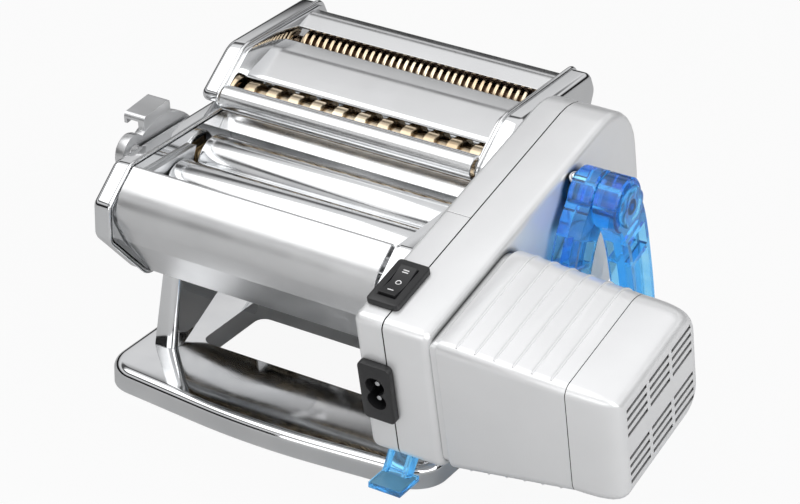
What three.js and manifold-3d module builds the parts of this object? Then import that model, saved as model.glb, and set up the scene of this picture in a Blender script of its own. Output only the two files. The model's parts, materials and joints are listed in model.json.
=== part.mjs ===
// Electric pasta maker: a chromed sheeting machine with a lift-off double cutter on top
// and a geared motor unit hooked on its right side.
// Millimetres. X runs to the right, Y to the back, Z up. The origin lies on the table, under
// the front wall of the window in the base.
import * as THREE from "three";
import { mergeVertices } from "three/addons/utils/BufferGeometryUtils.js";
import Module from "manifold-3d";

const wasm = await Module();
wasm.setup();

// Clearances, and how finely curves are cut
const clearance = 0.3;
const fitGap = 0.1;
const overrun = 4;
const mergeDistance = 0.001;
const arcSteps = 3;
const smoothSteps = 4;
const archSteps = 8;
const edgeSteps = 2;
const roundSides = 16;
const smallSides = 12;
const canSides = 24;
const cutterSides = 6;
const leastRadius = 0.6;

// Base and stand
const baseSideMargin = 20;
const baseDepth = 158;
const baseBow = 7;
const baseHeight = 12;
const baseCorner = 18;
const baseBowRadius = 380;
const baseWall = 1.6;
const baseEdge = 2.5;
const baseWindowWidth = 132;
const baseWindowDepth = 55;
const baseWindowCorner = 6;
const standSheet = 1.4;
const standFlange = 10;
const standTopFlange = 7.8;
const standFootHalf = 43;
const standTopHalf = 35;
const standArchHalf = 33;
const standArchHeight = 17;
const standArchCorner = 12;
const standGap = 0.3;
const standTabHalf = 24;
const standTabRise = 12;
const standTabCorner = 4;

// Body of the sheeting machine
const bodyTop = 127;
const bodyBottom = 64;
const bodyHalfDepth = 89;
const bodyTopHalf = 71;
const bodyBottomHalf = 60;
const bodyNoseTop = 112;
const bodyNoseBottom = 94;
const bodyTopCorner = 7;
const bodyNoseCorner = 10;
const frameInnerX = 73.5;
const frameSheet = 2;
const frameInset = 1.6;
const coverFaceX = 85;
const coverWall = 1.4;
const coverEdge = 3;

// Smooth rollers and their gears
const rollerRadius = 14;
const rollerHalf = 70;
const rollerNip = 0.3;
const rollerTilt = 4;
const rearRollerY = -10.5;
const rearRollerZ = 106;
const rollerChamfer = 1.5;
const journalRadius = 5;
const frontJournalEnd = 76;
const rearJournalEnd = 80.3;
const driveJournalEnd = 82.5;
const rollerTeeth = 14;
const rollerGearX = 77;
const rollerGearFace = 5;
const socketHalf = 2.5;
const socketDepth = 6;

// Selector for the roller gap, and the bearing blocks that it moves
const gapTravel = 2.4;
const dialTurn = 150;
const dialY = -29;
const dialZ = 100;
const dialRadius = 34;
const dialInnerX = 86.3;
const dialThickness = 5.5;
const dialEdge = 1.5;
const dialLobeY = -52;
const dialLobeZ = 122.5;
const dialLobeRadius = 9.5;
const dialHoleRadius = 4.5;
const dialTabAngle = 96;
const dialTabInner = 29;
const dialTabOuter = 39.5;
const dialTabWidth = 22;
const dialTabReach = 12;
const dialTabCorner = 2.5;
const camShaftRadius = 3.5;
const camShaftEnd = 73.8;
const camInnerX = 77;
const camThickness = 4;
const camLead = 10;
const camStep = 20;
const blockHalf = 9;
const blockInnerX = 73.2;
const leftBlockOuterX = 80.6;
const rightBlockOuterX = 76.6;

// Covers, hopper, guides, scrapers and tie rods
const coverSheet = 1.2;
const coverLip = [-67.5, 123];
const coverRim = [-71, 128.5, 2.2];
const coverNose = [-91.5, 113, 16];
const coverCrease = [-78.5, 89.5, 2];
const coverFoot = [-60, 65.6];
const rearCoverTop = [86.5, 110];
const rearCoverNose = [89, 101, 5];
const hopperSheet = 1;
const hopperTip = [1.6, 118.2];
const hopperRidge = [14, 119.2, 1.5];
const hopperFoot = [16, 106];
const guideInnerX = 70.6;
const guideOutline = [[-60, 120], [-60, 117], [-50, 110.8], [-25.5, 110.8], [-22, 119.2]];
const scraperSheet = 1;
const frontScraper = [[-36.5, 88.6], [-46, 70.5]];
const rearScraper = [[-6, 77.5], [-12.5, 91]];
const tieRodRadius = 3;
const frontTieRod = [-52, 74];
const rearTieRod = [3, 71];

// Double cutter: its outlines are (y, height over the body's top, corner radius)
const cutterOutline = [
  [11, 0, 4], [96, 0, 4], [102, 15, 8], [96, 26.6, 8], [25.8, 26.6, 14], [-1.6, 6.1, 4],
];
const cutterPanelX = 71.6;
const cutterPanelSheet = 1.7;
const cutterWall = 2;
const tongueTop = [13, 84];
const tongueFoot = [22, 72];
const tongueDepth = 12;
const tongueOverlap = 3;
const wideAxis = [20.5, 1];
const wideAngle = -24.3;
const narrowAxis = [74.5, 10.3];
const narrowAngle = 206.6;
const cutterSpacing = 17;
const cutterRadius = 9.5;
const cutterGroove = 7;
const cutterHalf = 68.8;
const cutterJournal = 4;
const cutterTeeth = 12;
const cutterGearX = 69;
const cutterGearFace = 2.3;
const widePitch = 13;
const narrowPitch = 4;
const ridgeGap = 0.5;
const crankHole = 6.3;
const cutterSocketHalf = 2;
const archSheet = 1.2;
const frontTube = [5.5, 7];
const frontTubeRadius = 6.3;
const frontTubeFrom = 20;
const frontTubeTo = 235;
const middleCover = [[63.5, 15.5], [60.5, 19, 4], [47, 19.2, 20], [31.6, 14.9, 5], [30.6, 8.3]];
const narrowCover = [[96.6, 11], [92.5, 24.2, 7], [82, 25.4, 12], [71.3, 21.9]];

// Motor unit: its housing leans back, so it is drawn level and tilted as a group
const unitTilt = 13.5;
const unitFrontY = -127.6;
const unitTopZ = 121.4;
const unitInnerX = 86;
const unitSeamX = 101;
const unitOuterX = 124;
const unitLength = 197;
const unitFrontDrop = 82;
const unitRearDrop = 100.3;
const unitWall = 1.8;
const unitEdge = 3.2;
const unitOuterEdge = 4.2;
const unitTopCorner = 4.5;
const unitFootCorner = 8;
const unitCrownRadius = 32;
const unitBellyRadius = 46;
const panelEnd = 79.5;
const panelGap = 0.3;
const barrelX = 127.5;
const neckInset = 2.2;
const neckEndX = 129;
const capSeamX = 191.5;
const capFaceX = 216;
const barrelRear = [82, 79];
const barrelTop = [-3.2, -4.8];
const barrelFoot = [-80.4, -68.6];
const barrelCorners = [8, 17, 17, 5];
const ribFirstX = 137;
const ribPitch = 9.3;
const ribCount = 6;
const ribWidth = 1;
const ribRise = 0.6;
const ribFront = 3;
const capProfile = [[0, 0], [12, 0.3], [18, 1.3], [22, 3.2], [24, 5.4], [24.5, 7.2]];
const capRoom = [[-4, 1.8], [16, 3.2], [22, 6.6]];
const ventRows = 10;
const ventPitch = 4.6;
const ventWidth = 1.7;
const ventColumns = 3;
const ventLength = 18.5;
const ventGap = 2.6;
const ventFirstDown = 15.8;
const ventFirstAlong = 9;
const ventDepth = 8;
const bareRows = [4, 5];
const bossAlong = 128;
const bossDown = 64;
const bossRadius = 27;
const bossRise = 2.4;
const pegRadius = 4;
const pegEndX = 80;
const frontPeg = [-62, 100];
const rearPeg = [30, 90];
const pegSides = 16;

// Motor, fan and gear train
const motorAlong = 38;
const motorDown = 37;
const motorRadius = 26;
const motorLength = 62;
const motorShoulder = 3;
const motorBossRadius = 8;
const motorBossLength = 2;
const motorOpening = 9;
const shaftRadius = 2.5;
const shaftInnerX = 115;
const shaftOuterX = 196.5;
const fanX = 189;
const fanDepth = 6.5;
const fanRadius = 21;
const fanHub = 6;
const fanBlades = 7;
const fanBlade = 1.2;
const firstAxle = [55, 58];
const secondAxle = [83, 62];
const pinionTeeth = 9;
const firstTeeth = 32;
const secondTeeth = 28;
const outputTeeth = 22;
const trainFace = 5;
const trainStep = 7;
const firstLayerX = 115.5;
const axleRadius = 3;
const outputShaftRadius = 5;
const outputRoom = 6.3;
const outputShaftEnd = 107.5;
const couplingHalf = 2.2;
const couplingEndX = 77;
const couplingLength = 10;
const outputOpening = 8;
const bushFlange = 15;
const bushFlangeSheet = 2;
const bushRadius = 8;
const bushLength = 9;

// Switch and inlet
const bezelMidX = 95.6;
const bezelAlong = 24.5;
const bezelWidth = 16.5;
const bezelLength = 30;
const bezelRise = 3;
const bezelCorner = 2;
const seatGap = 0.02;
const switchWidth = 12.5;
const switchLength = 25;
const switchDepth = 12;
const rockerWidth = 8.6;
const rockerHalf = 10;
const rockerTip = 2.9;
const rockerValley = 1;
const rockerDrop = 5;
const rockerShoulder = 1;
const rockerKeel = 3;
const rockerGap = 0.5;
const rockerWell = 8;
const inletMidX = 95.3;
const inletDown = 41;
const inletWidth = 16.6;
const inletHeight = 33;
const inletRise = 3.6;
const inletCorner = 2.5;
const inletBodyWidth = 13;
const inletBodyHeight = 26;
const inletDepth = 16;
const inletHoleRadius = 5;
const inletWell = 12;
const pinPitch = 8.6;
const pinRadius = 1.2;
const pinSides = 8;
const pinRoot = 1;

// Legs, their pin and screw, and the lever
const legPivot = [132, 15];
const legThickness = 12.5;
const legInnerX = 127.8;
const legGap = 0.6;
const legKnuckle = 13.5;
const legHalfWidths = [11, 10, 9.5, 9.5, 8.5, 7];
const legWeb = 4.5;
const legRim = 2.4;
const legRibs = [0.2, 0.34, 0.48, 0.62, 0.76, 0.9];
const legRibShare = 0.03;
const legSteps = 10;
const legFootRadius = 7;
const innerLegPath = [[132, 15], [107, 19], [97, 40], [94.5, 62], [92, 90], [73, 128]];
const outerLegPath = [[132, 15], [138, 34], [141, 60], [142, 88], [141.5, 120], [140, 150]];
const legPinRadius = 4;
const legPinCollar = 6;
const rosetteRadius = 10.5;
const rosetteSheet = 2.6;
const rosetteLobes = 6;
const rosetteShare = 0.07;
const rosetteSides = 36;
const screwPlace = [129.5, 5.2];
const screwRadius = 3.5;
const screwShank = 1.5;
const screwDepth = 6;
const leverMidX = 94.3;
const leverHalf = 6;
const leverPivot = [30, 76];
const leverPin = 2.5;
const leverKnuckle = 5.5;
const leverPath = [[0, 0], [-9, -13], [-19, -28.5]];
const leverHalfWidths = [4.6, 4.6, 4];
const leverWall = 1.8;
const leverChannelShift = [-2.8, 1];
const leverPad = [-21.8, -30.5];
const leverPadHalf = 8.5;
const leverPadSheet = 3;
const leverSlotFrom = 8;
const leverSlotTo = 36;

// Materials
const chrome = new THREE.MeshStandardMaterial({ color: 0xd8dadc, roughness: 0.12, metalness: 1 });
const steel = new THREE.MeshStandardMaterial({ color: 0xa9adb1, roughness: 0.35, metalness: 1 });
const brass = new THREE.MeshStandardMaterial({ color: 0xc9a25a, roughness: 0.3, metalness: 1 });
const silver = new THREE.MeshStandardMaterial({ color: 0xdfe1e3, roughness: 0.3, metalness: 0.4 });
const black = new THREE.MeshStandardMaterial({ color: 0x1a1a1c, roughness: 0.45, metalness: 0 });
const nylon = new THREE.MeshStandardMaterial({ color: 0xe9e6dc, roughness: 0.6, metalness: 0 });
const blue = new THREE.MeshStandardMaterial({
  color: 0x2f86e0, roughness: 0.15, metalness: 0, transparent: true, opacity: 0.75,
});

const radians = THREE.MathUtils.degToRad;

// A solid that can be joined and cut, from a closed geometry whichever way it faces.
function solid(geometry) {
  const loose = geometry.index ? geometry.toNonIndexed() : geometry;
  const bare = new THREE.BufferGeometry();
  bare.setAttribute("position", loose.getAttribute("position"));
  const merged = mergeVertices(bare, mergeDistance);
  const vertProperties = merged.attributes.position.array;
  const triVerts = new Uint32Array(merged.index.array);
  const made = new wasm.Manifold(new wasm.Mesh({ numProp: 3, vertProperties, triVerts }));
  return made.volume() > 0
    ? made
    : new wasm.Manifold(new wasm.Mesh({ numProp: 3, vertProperties, triVerts: triVerts.reverse() }));
}

function geometryOf(body) {
  const made = body.getMesh();
  const geometry = new THREE.BufferGeometry();
  geometry.setAttribute("position", new THREE.BufferAttribute(made.vertProperties, made.numProp));
  geometry.setIndex(new THREE.BufferAttribute(made.triVerts, 1));
  geometry.computeVertexNormals();
  return geometry;
}

function add(parent, name, body, material, place = [0, 0, 0]) {
  const mesh = new THREE.Mesh(geometryOf(body), material);
  mesh.name = name;
  mesh.position.set(...place);
  parent.add(mesh);
  return mesh;
}

// The points of a path whose corners [a, b, radius] are rounded.
function rounded(corners, closed = true, steps = arcSteps) {
  const points = [];
  corners.forEach(([a, b, radius = 0], i) => {
    const corner = new THREE.Vector2(a, b);
    const isEnd = !closed && (i === 0 || i === corners.length - 1);
    if (isEnd || radius === 0) {
      points.push(corner);
      return;
    }
    const before = corners[(i + corners.length - 1) % corners.length];
    const after = corners[(i + 1) % corners.length];
    const back = new THREE.Vector2(before[0], before[1]).sub(corner).normalize();
    const on = new THREE.Vector2(after[0], after[1]).sub(corner).normalize();
    const half = Math.acos(THREE.MathUtils.clamp(back.dot(on), -1, 1)) / 2;
    const middle = back.clone().add(on).normalize().multiplyScalar(radius / Math.sin(half)).add(corner);
    const start = back.clone().multiplyScalar(radius / Math.tan(half)).add(corner).sub(middle);
    const turn = (Math.PI - 2 * half) * Math.sign(back.cross(start));
    for (let k = 0; k <= steps; k++) {
      points.push(start.clone().rotateAround(new THREE.Vector2(), (turn * k) / steps).add(middle));
    }
  });
  return points;
}

// The same corners moved inwards by a distance, for an outline that runs anticlockwise.
function inset(corners, distance, least = 0) {
  return corners.map(([a, b, radius = 0], i) => {
    const corner = new THREE.Vector2(a, b);
    const before = corners[(i + corners.length - 1) % corners.length];
    const after = corners[(i + 1) % corners.length];
    const arriving = corner.clone().sub(new THREE.Vector2(before[0], before[1])).normalize();
    const leaving = new THREE.Vector2(after[0], after[1]).sub(corner).normalize();
    const inward = new THREE.Vector2(-arriving.y - leaving.y, arriving.x + leaving.x);
    const moved = corner.addScaledVector(inward, (2 * distance) / inward.lengthSq());
    return [moved.x, moved.y, Math.max(radius - distance, least)];
  });
}

// A sheet of even thickness that follows an open path, on its left-hand side.
function sheetPoints(path, thickness) {
  const side = path.map((point, i) => {
    const before = path[Math.max(i - 1, 0)];
    const after = path[Math.min(i + 1, path.length - 1)];
    const arriving = (i === 0 ? after.clone().sub(point) : point.clone().sub(before)).normalize();
    const leaving = i === path.length - 1 ? arriving.clone() : after.clone().sub(point).normalize();
    const left = new THREE.Vector2(-arriving.y - leaving.y, arriving.x + leaving.x);
    return point.clone().addScaledVector(left, (2 * thickness) / left.lengthSq());
  });
  return [...path, ...side.reverse()];
}

// A band about a path, whose half width changes evenly from one point to the next.
function bandPoints(path, halfWidths) {
  const sides = [-1, 1].map((side) => path.map((point, i) => {
    const before = path[Math.max(i - 1, 0)];
    const after = path[Math.min(i + 1, path.length - 1)];
    const along = after.clone().sub(before).normalize();
    return new THREE.Vector2(-along.y, along.x).multiplyScalar(side * halfWidths[i]).add(point);
  }));
  return [...sides[0], ...sides[1].reverse()];
}

const vectors = (pairs) => pairs.map(([a, b]) => new THREE.Vector2(a, b));

const alongX = new THREE.Matrix4().makeBasis(
  new THREE.Vector3(0, 1, 0),
  new THREE.Vector3(0, 0, 1),
  new THREE.Vector3(1, 0, 0),
);
const alongY = new THREE.Matrix4().makeBasis(
  new THREE.Vector3(1, 0, 0),
  new THREE.Vector3(0, 0, 1),
  new THREE.Vector3(0, -1, 0),
);

function extruded(points, depth) {
  return new THREE.ExtrudeGeometry(new THREE.Shape(points), { depth, bevelEnabled: false });
}

// Outlines carried along an axis: (y, z) points along X, (x, z) along Y, (x, y) along Z.
const prismX = (points, from, to) => (
  solid(extruded(points, to - from).applyMatrix4(alongX).translate(from, 0, 0)));
const prismY = (points, from, to) => (
  solid(extruded(points, to - from).applyMatrix4(alongY).translate(0, to, 0)));
const prismZ = (points, from, to) => (
  solid(extruded(points, to - from).translate(0, 0, from)));

function box(x0, x1, y0, y1, z0, z1) {
  const geometry = new THREE.BoxGeometry(x1 - x0, y1 - y0, z1 - z0);
  return solid(geometry.translate((x0 + x1) / 2, (y0 + y1) / 2, (z0 + z1) / 2));
}

// A round bar along X about a (y, z) centre.
function bar(radius, from, to, y = 0, z = 0, sides = smallSides) {
  const geometry = new THREE.CylinderGeometry(radius, radius, to - from, sides);
  return solid(geometry.rotateZ(-Math.PI / 2).translate((from + to) / 2, y, z));
}

// A body turned about the X axis, from [x, radius] pairs that run towards +X.
function turned(profile, sides = roundSides) {
  const geometry = new THREE.LatheGeometry(vectors(profile.map(([x, radius]) => [radius, x])), sides);
  return solid(geometry.rotateZ(-Math.PI / 2));
}

// A (y, z) outline carried along X from an open rim to a face whose edge is rounded.
function edgedPrism(points, rim, face, edge) {
  const length = Math.abs(face - rim);
  const geometry = new THREE.ExtrudeGeometry(new THREE.Shape(points), {
    depth: length, bevelThickness: edge, bevelSize: edge, bevelOffset: -edge, bevelSegments: edgeSteps,
  });
  const outward = Math.sign(face - rim);
  geometry.applyMatrix4(alongX).translate(outward > 0 ? face - edge - length : face + edge, 0, 0);
  const wide = new THREE.Box3().setFromBufferAttribute(geometry.getAttribute("position"));
  const near = outward > 0 ? wide.min.x - overrun : rim;
  const far = outward > 0 ? rim : wide.max.x + overrun;
  const behind = box(
    near, far, wide.min.y - overrun, wide.max.y + overrun, wide.min.z - overrun, wide.max.z + overrun,
  );
  return solid(geometry).subtract(behind);
}

// A body through (y, z) outlines of equal point count, each at its own X.
function loft(stations) {
  const positions = [];
  const put = ({ x, points }, k) => {
    const point = points[(k + points.length) % points.length];
    positions.push(x, point.x, point.y);
  };
  stations.slice(1).forEach((station, s) => {
    const last = stations[s];
    station.points.forEach((_, k) => {
      [[last, k], [last, k + 1], [station, k]].forEach(([at, i]) => put(at, i));
      [[last, k + 1], [station, k + 1], [station, k]].forEach(([at, i]) => put(at, i));
    });
  });
  const caps = [[stations[0], true], [stations[stations.length - 1], false]];
  for (const [station, turnsBack] of caps) {
    for (const face of THREE.ShapeUtils.triangulateShape(station.points, [])) {
      (turnsBack ? [...face].reverse() : face).forEach((k) => put(station, k));
    }
  }
  const geometry = new THREE.BufferGeometry();
  geometry.setAttribute("position", new THREE.Float32BufferAttribute(positions, 3));
  return solid(geometry);
}

const joined = (bodies) => bodies.reduce((whole, body) => whole.add(body));
const without = (body, cuts) => cuts.reduce((left, cut) => left.subtract(cut), body);

// The outline of a gear with trapezium teeth, the first one at the phase angle.
function gearPoints(teeth, pitchRadius, phase) {
  const rootShare = 0.54;
  const tipShare = 0.2;
  const addendumShare = 0.92;
  const dedendumShare = 1.2;
  const moduleSize = (2 * pitchRadius) / teeth;
  const step = (2 * Math.PI) / teeth;
  const root = pitchRadius - dedendumShare * moduleSize;
  const tip = pitchRadius + addendumShare * moduleSize;
  const flanks = [[-rootShare, root], [-tipShare, tip], [tipShare, tip], [rootShare, root]];
  const points = [];
  for (let i = 0; i < teeth; i++) {
    for (const [share, radius] of flanks) {
      const angle = phase + (i + share / 2) * step;
      points.push(new THREE.Vector2(radius * Math.cos(angle), radius * Math.sin(angle)));
    }
  }
  return points;
}

// The phase of a gear that meets, at an angle, a gear with a tooth pointing at it.
const meshPhase = (angle, teeth) => angle + Math.PI + Math.PI / teeth;

function gearWheel(teeth, pitchRadius, phase, from, to, bore) {
  const wheel = prismX(gearPoints(teeth, pitchRadius, phase), from, to);
  return wheel.subtract(bar(bore, from - overrun, to + overrun, 0, 0, roundSides));
}

// From and to as X values, for a piece on the left or right side.
const onSide = (side, near, far) => (side > 0 ? [near, far] : [-far, -near]);

function bodyCorners() {
  return [
    [-bodyBottomHalf, bodyBottom, bodyNoseCorner],
    [bodyBottomHalf, bodyBottom, bodyNoseCorner],
    [bodyHalfDepth, bodyNoseBottom, bodyNoseCorner],
    [bodyHalfDepth, bodyNoseTop, bodyNoseCorner],
    [bodyTopHalf, bodyTop, bodyTopCorner],
    [-bodyTopHalf, bodyTop, bodyTopCorner],
    [-bodyHalfDepth, bodyNoseTop, bodyNoseCorner],
    [-bodyHalfDepth, bodyNoseBottom, bodyNoseCorner],
  ];
}

// Places given as a height over the body's top, in the part's own heights.
const overBody = (places) => places.map(([y, rise, ...more]) => [y, bodyTop + rise, ...more]);

// Places that follow from the driving sizes
const rollerSpacing = 2 * rollerRadius + rollerNip;
const frontRollerY = rearRollerY - rollerSpacing * Math.cos(radians(rollerTilt));
const frontRollerZ = rearRollerZ - rollerSpacing * Math.sin(radians(rollerTilt));
const frameOuterX = frameInnerX + frameSheet;
const standTop = bodyBottom - standGap;
const standInnerX = frameInnerX - standSheet;
const coverInnerX = coverFaceX - coverWall;
const baseWidth = 2 * (frameOuterX + baseSideMargin);
const cutterRimX = cutterPanelX + cutterPanelSheet;
const cutterCorners = overBody(cutterOutline);
const driveAxes = overBody([wideAxis, narrowAxis]);
const secondAxes = driveAxes.map(([y, z], i) => {
  const angle = radians([wideAngle, narrowAngle][i]);
  return [y + cutterSpacing * Math.cos(angle), z + cutterSpacing * Math.sin(angle)];
});
const outputAxis = toUnit(frontRollerY, frontRollerZ);

// A place in the tilted frame of the motor unit.
function toUnit(y, z) {
  const along = y - unitFrontY;
  const up = z - unitTopZ;
  const cos = Math.cos(radians(unitTilt));
  const sin = Math.sin(radians(unitTilt));
  return [along * cos + up * sin, up * cos - along * sin];
}

const machine = new THREE.Group();
const cutterUnit = new THREE.Group();
const motorUnit = new THREE.Group();
motorUnit.position.set(0, unitFrontY, unitTopZ);
motorUnit.rotation.x = radians(unitTilt);
machine.position.y = (baseWindowDepth + baseWall) / 2;
machine.add(cutterUnit, motorUnit);

// Base: a pressed frame with bowed front and back edges, open underneath and in the middle.
function baseFrame() {
  const halfWidth = baseWidth / 2;
  const halfDepth = baseDepth / 2;
  const apex = halfDepth + baseBow / 3;
  const side = halfDepth - baseBow;
  const outer = [
    [-halfWidth, -side, baseCorner],
    [0, -apex, baseBowRadius],
    [halfWidth, -side, baseCorner],
    [halfWidth, side, baseCorner],
    [0, apex, baseBowRadius],
    [-halfWidth, side, baseCorner],
  ];
  const window = [
    [-baseWindowWidth / 2, -baseWindowDepth / 2, baseWindowCorner],
    [baseWindowWidth / 2, -baseWindowDepth / 2, baseWindowCorner],
    [baseWindowWidth / 2, baseWindowDepth / 2, baseWindowCorner],
    [-baseWindowWidth / 2, baseWindowDepth / 2, baseWindowCorner],
  ];
  const pressing = new THREE.ExtrudeGeometry(new THREE.Shape(rounded(outer, true, smoothSteps)), {
    depth: baseHeight, bevelThickness: baseEdge, bevelSize: baseEdge, bevelOffset: -baseEdge,
    bevelSegments: edgeSteps,
  });
  const under = box(-baseWidth, baseWidth, -baseWidth, baseWidth, -baseHeight, 0);
  const hollow = prismZ(
    rounded(inset(outer, baseWall), true, smoothSteps), -overrun, baseHeight - baseWall,
  );
  const rim = prismZ(rounded(inset(window, -baseWall)), -2 * overrun, baseHeight);
  return without(solid(pressing.translate(0, 0, -baseEdge)), [
    under,
    hollow.subtract(rim),
    prismZ(rounded(window), -overrun, baseHeight + overrun),
  ]);
}

// One side of the stand: a web with an arch at its foot, and flanges folded outwards.
function standSide(side) {
  const web = [
    [-standFootHalf, baseHeight],
    [-standArchHalf, baseHeight],
    [0, baseHeight + standArchHeight, standArchCorner],
    [standArchHalf, baseHeight],
    [standFootHalf, baseHeight],
    [standTopHalf, standTop],
    [-standTopHalf, standTop],
  ];
  const flangeX = frameInnerX + standFlange;
  const topFlangeX = frameInnerX + standTopFlange;
  const inside = inset(web, standSheet);
  const past = flangeX + overrun;
  const open = [
    inside[6], inside[5],
    [inside[5][0], standTop + overrun], [inside[6][0], standTop + overrun],
  ];
  const taper = [
    [flangeX, baseHeight], [past, baseHeight], [past, standTop + overrun],
    [topFlangeX, standTop + overrun],
  ];
  const tab = [
    [-standTabHalf, standTop - overrun],
    [standTabHalf, standTop - overrun],
    [standTabHalf, standTop + standTabRise, standTabCorner],
    [-standTabHalf, standTop + standTabRise, standTabCorner],
  ];
  const pressed = without(prismX(rounded(web), ...onSide(side, standInnerX, flangeX)), [
    prismX(rounded(inside), ...onSide(side, frameInnerX, past)),
    prismX(vectors(open), ...onSide(side, frameInnerX, past)),
    prismY(vectors(taper.map(([x, z]) => [side * x, z])), -standFootHalf - overrun, standFootHalf + overrun),
  ]);
  return pressed.add(prismX(rounded(tab), ...onSide(side, standInnerX, frameInnerX)));
}

// A frame plate, with the front roller's bearing hole and the rear block's slot.
function framePlate(side) {
  const through = onSide(side, frameInnerX - overrun, frameOuterX + overrun);
  const plate = prismX(rounded(inset(bodyCorners(), frameInset)), ...onSide(side, frameInnerX, frameOuterX));
  const slot = box(
    ...through,
    rearRollerY - blockHalf - clearance, rearRollerY + blockHalf + gapTravel + clearance,
    rearRollerZ - blockHalf - clearance, rearRollerZ + blockHalf + clearance,
  );
  const bearing = bar(journalRadius + clearance, ...through, frontRollerY, frontRollerZ, roundSides);
  const own = side > 0 ? crankNotches() : [bar(camShaftRadius + clearance, ...through, dialY, dialZ)];
  return without(plate, [slot, bearing, ...own]);
}

// Room for a crank on each driven cutting roller, shared by the body and the cutter above it.
function crankNotches() {
  return driveAxes.map((axis) => (
    bar(crankHole, frameInnerX - overrun, coverFaceX + overrun, ...axis, roundSides)));
}

function sideCover(side) {
  const dish = edgedPrism(rounded(bodyCorners()), side * frameOuterX, side * coverFaceX, coverEdge);
  const room = prismX(
    rounded(inset(bodyCorners(), coverWall)), ...onSide(side, frameOuterX - overrun, coverInnerX),
  );
  const through = onSide(side, frameOuterX, coverFaceX + overrun);
  const pegHoles = [frontPeg, rearPeg].map((peg) => bar(pegRadius + clearance, ...through, ...peg, pegSides));
  const coupling = bar(outputRoom, ...through, frontRollerY, frontRollerZ, roundSides);
  const own = side > 0
    ? [...crankNotches(), ...pegHoles, coupling]
    : [bar(camShaftRadius + clearance, ...through, dialY, dialZ)];
  return without(dish, [room, ...own]);
}

// Folded sheets between the two frame plates.
function crossSheet(path, thickness) {
  return prismX(sheetPoints(rounded(path, false), thickness), -frameInnerX, frameInnerX);
}

const frontCover = () => crossSheet([coverLip, coverRim, coverNose, coverCrease, coverFoot], coverSheet);

function rearCover() {
  const crease = [-coverCrease[0], coverCrease[1], coverCrease[2]];
  return crossSheet([[-coverFoot[0], coverFoot[1]], crease, rearCoverNose, rearCoverTop], coverSheet);
}

const hopperPlate = () => crossSheet([hopperFoot, hopperRidge, hopperTip], hopperSheet);

function guide(side) {
  return prismX(vectors(guideOutline), ...onSide(side, guideInnerX, frameInnerX));
}

add(machine, "base_frame", baseFrame(), chrome);
add(machine, "left_stand", standSide(-1), chrome);
add(machine, "right_stand", standSide(1), chrome);
add(machine, "left_frame", framePlate(-1), chrome);
add(machine, "right_frame", framePlate(1), chrome);
add(machine, "left_side_cover", sideCover(-1), chrome);
add(machine, "right_side_cover", sideCover(1), chrome);
add(machine, "front_cover", frontCover(), chrome);
add(machine, "rear_cover", rearCover(), chrome);
add(machine, "hopper_plate", hopperPlate(), chrome);
add(machine, "left_guide", guide(-1), steel);
add(machine, "right_guide", guide(1), steel);
add(machine, "front_scraper", crossSheet(frontScraper, scraperSheet), steel);
add(machine, "rear_scraper", crossSheet(rearScraper, scraperSheet), steel);
add(machine, "front_tie_rod", bar(tieRodRadius, -frameInnerX, frameInnerX, ...frontTieRod), steel);
add(machine, "rear_tie_rod", bar(tieRodRadius, -standInnerX, standInnerX, ...rearTieRod), steel);

// A smooth roller with chamfered ends, and a journal at each end.
function smoothRoller(leftEnd) {
  return turned([
    [-leftEnd, 0],
    [-leftEnd, journalRadius],
    [-rollerHalf, journalRadius],
    [-rollerHalf, rollerRadius - rollerChamfer],
    [-rollerHalf + rollerChamfer, rollerRadius],
    [rollerHalf - rollerChamfer, rollerRadius],
    [rollerHalf, rollerRadius - rollerChamfer],
    [rollerHalf, journalRadius],
    [driveJournalEnd, journalRadius],
    [driveJournalEnd, 0],
  ]);
}

// The square socket that a crank or the motor unit's coupling enters.
function socket(end, half) {
  return box(end - socketDepth, end + overrun, -half, half, -half, half);
}

function rollerGear(phase) {
  return gearWheel(
    rollerTeeth, rollerSpacing / 2, phase,
    rollerGearX, rollerGearX + rollerGearFace, journalRadius + fitGap,
  );
}

function bearingBlock(side, outerX) {
  const [from, to] = onSide(side, blockInnerX, outerX);
  const block = box(from, to, -blockHalf, blockHalf, -blockHalf, blockHalf);
  return block.subtract(bar(journalRadius + clearance, from - overrun, to + overrun, 0, 0, roundSides));
}

const frontRollerPlace = [0, frontRollerY, frontRollerZ];
const rearRollerPlace = [0, rearRollerY, rearRollerZ];
const rollerLine = radians(rollerTilt);
add(machine, "front_roller", smoothRoller(frontJournalEnd).subtract(socket(driveJournalEnd, socketHalf)),
  steel, frontRollerPlace);
add(machine, "rear_roller", smoothRoller(rearJournalEnd), steel, rearRollerPlace);
add(machine, "front_roller_gear", rollerGear(rollerLine), steel, frontRollerPlace);
add(machine, "rear_roller_gear", rollerGear(meshPhase(rollerLine, rollerTeeth)), steel, rearRollerPlace);
add(machine, "left_bearing_block", bearingBlock(-1, leftBlockOuterX), brass, rearRollerPlace);
add(machine, "right_bearing_block", bearingBlock(1, rightBlockOuterX), brass, rearRollerPlace);

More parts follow.
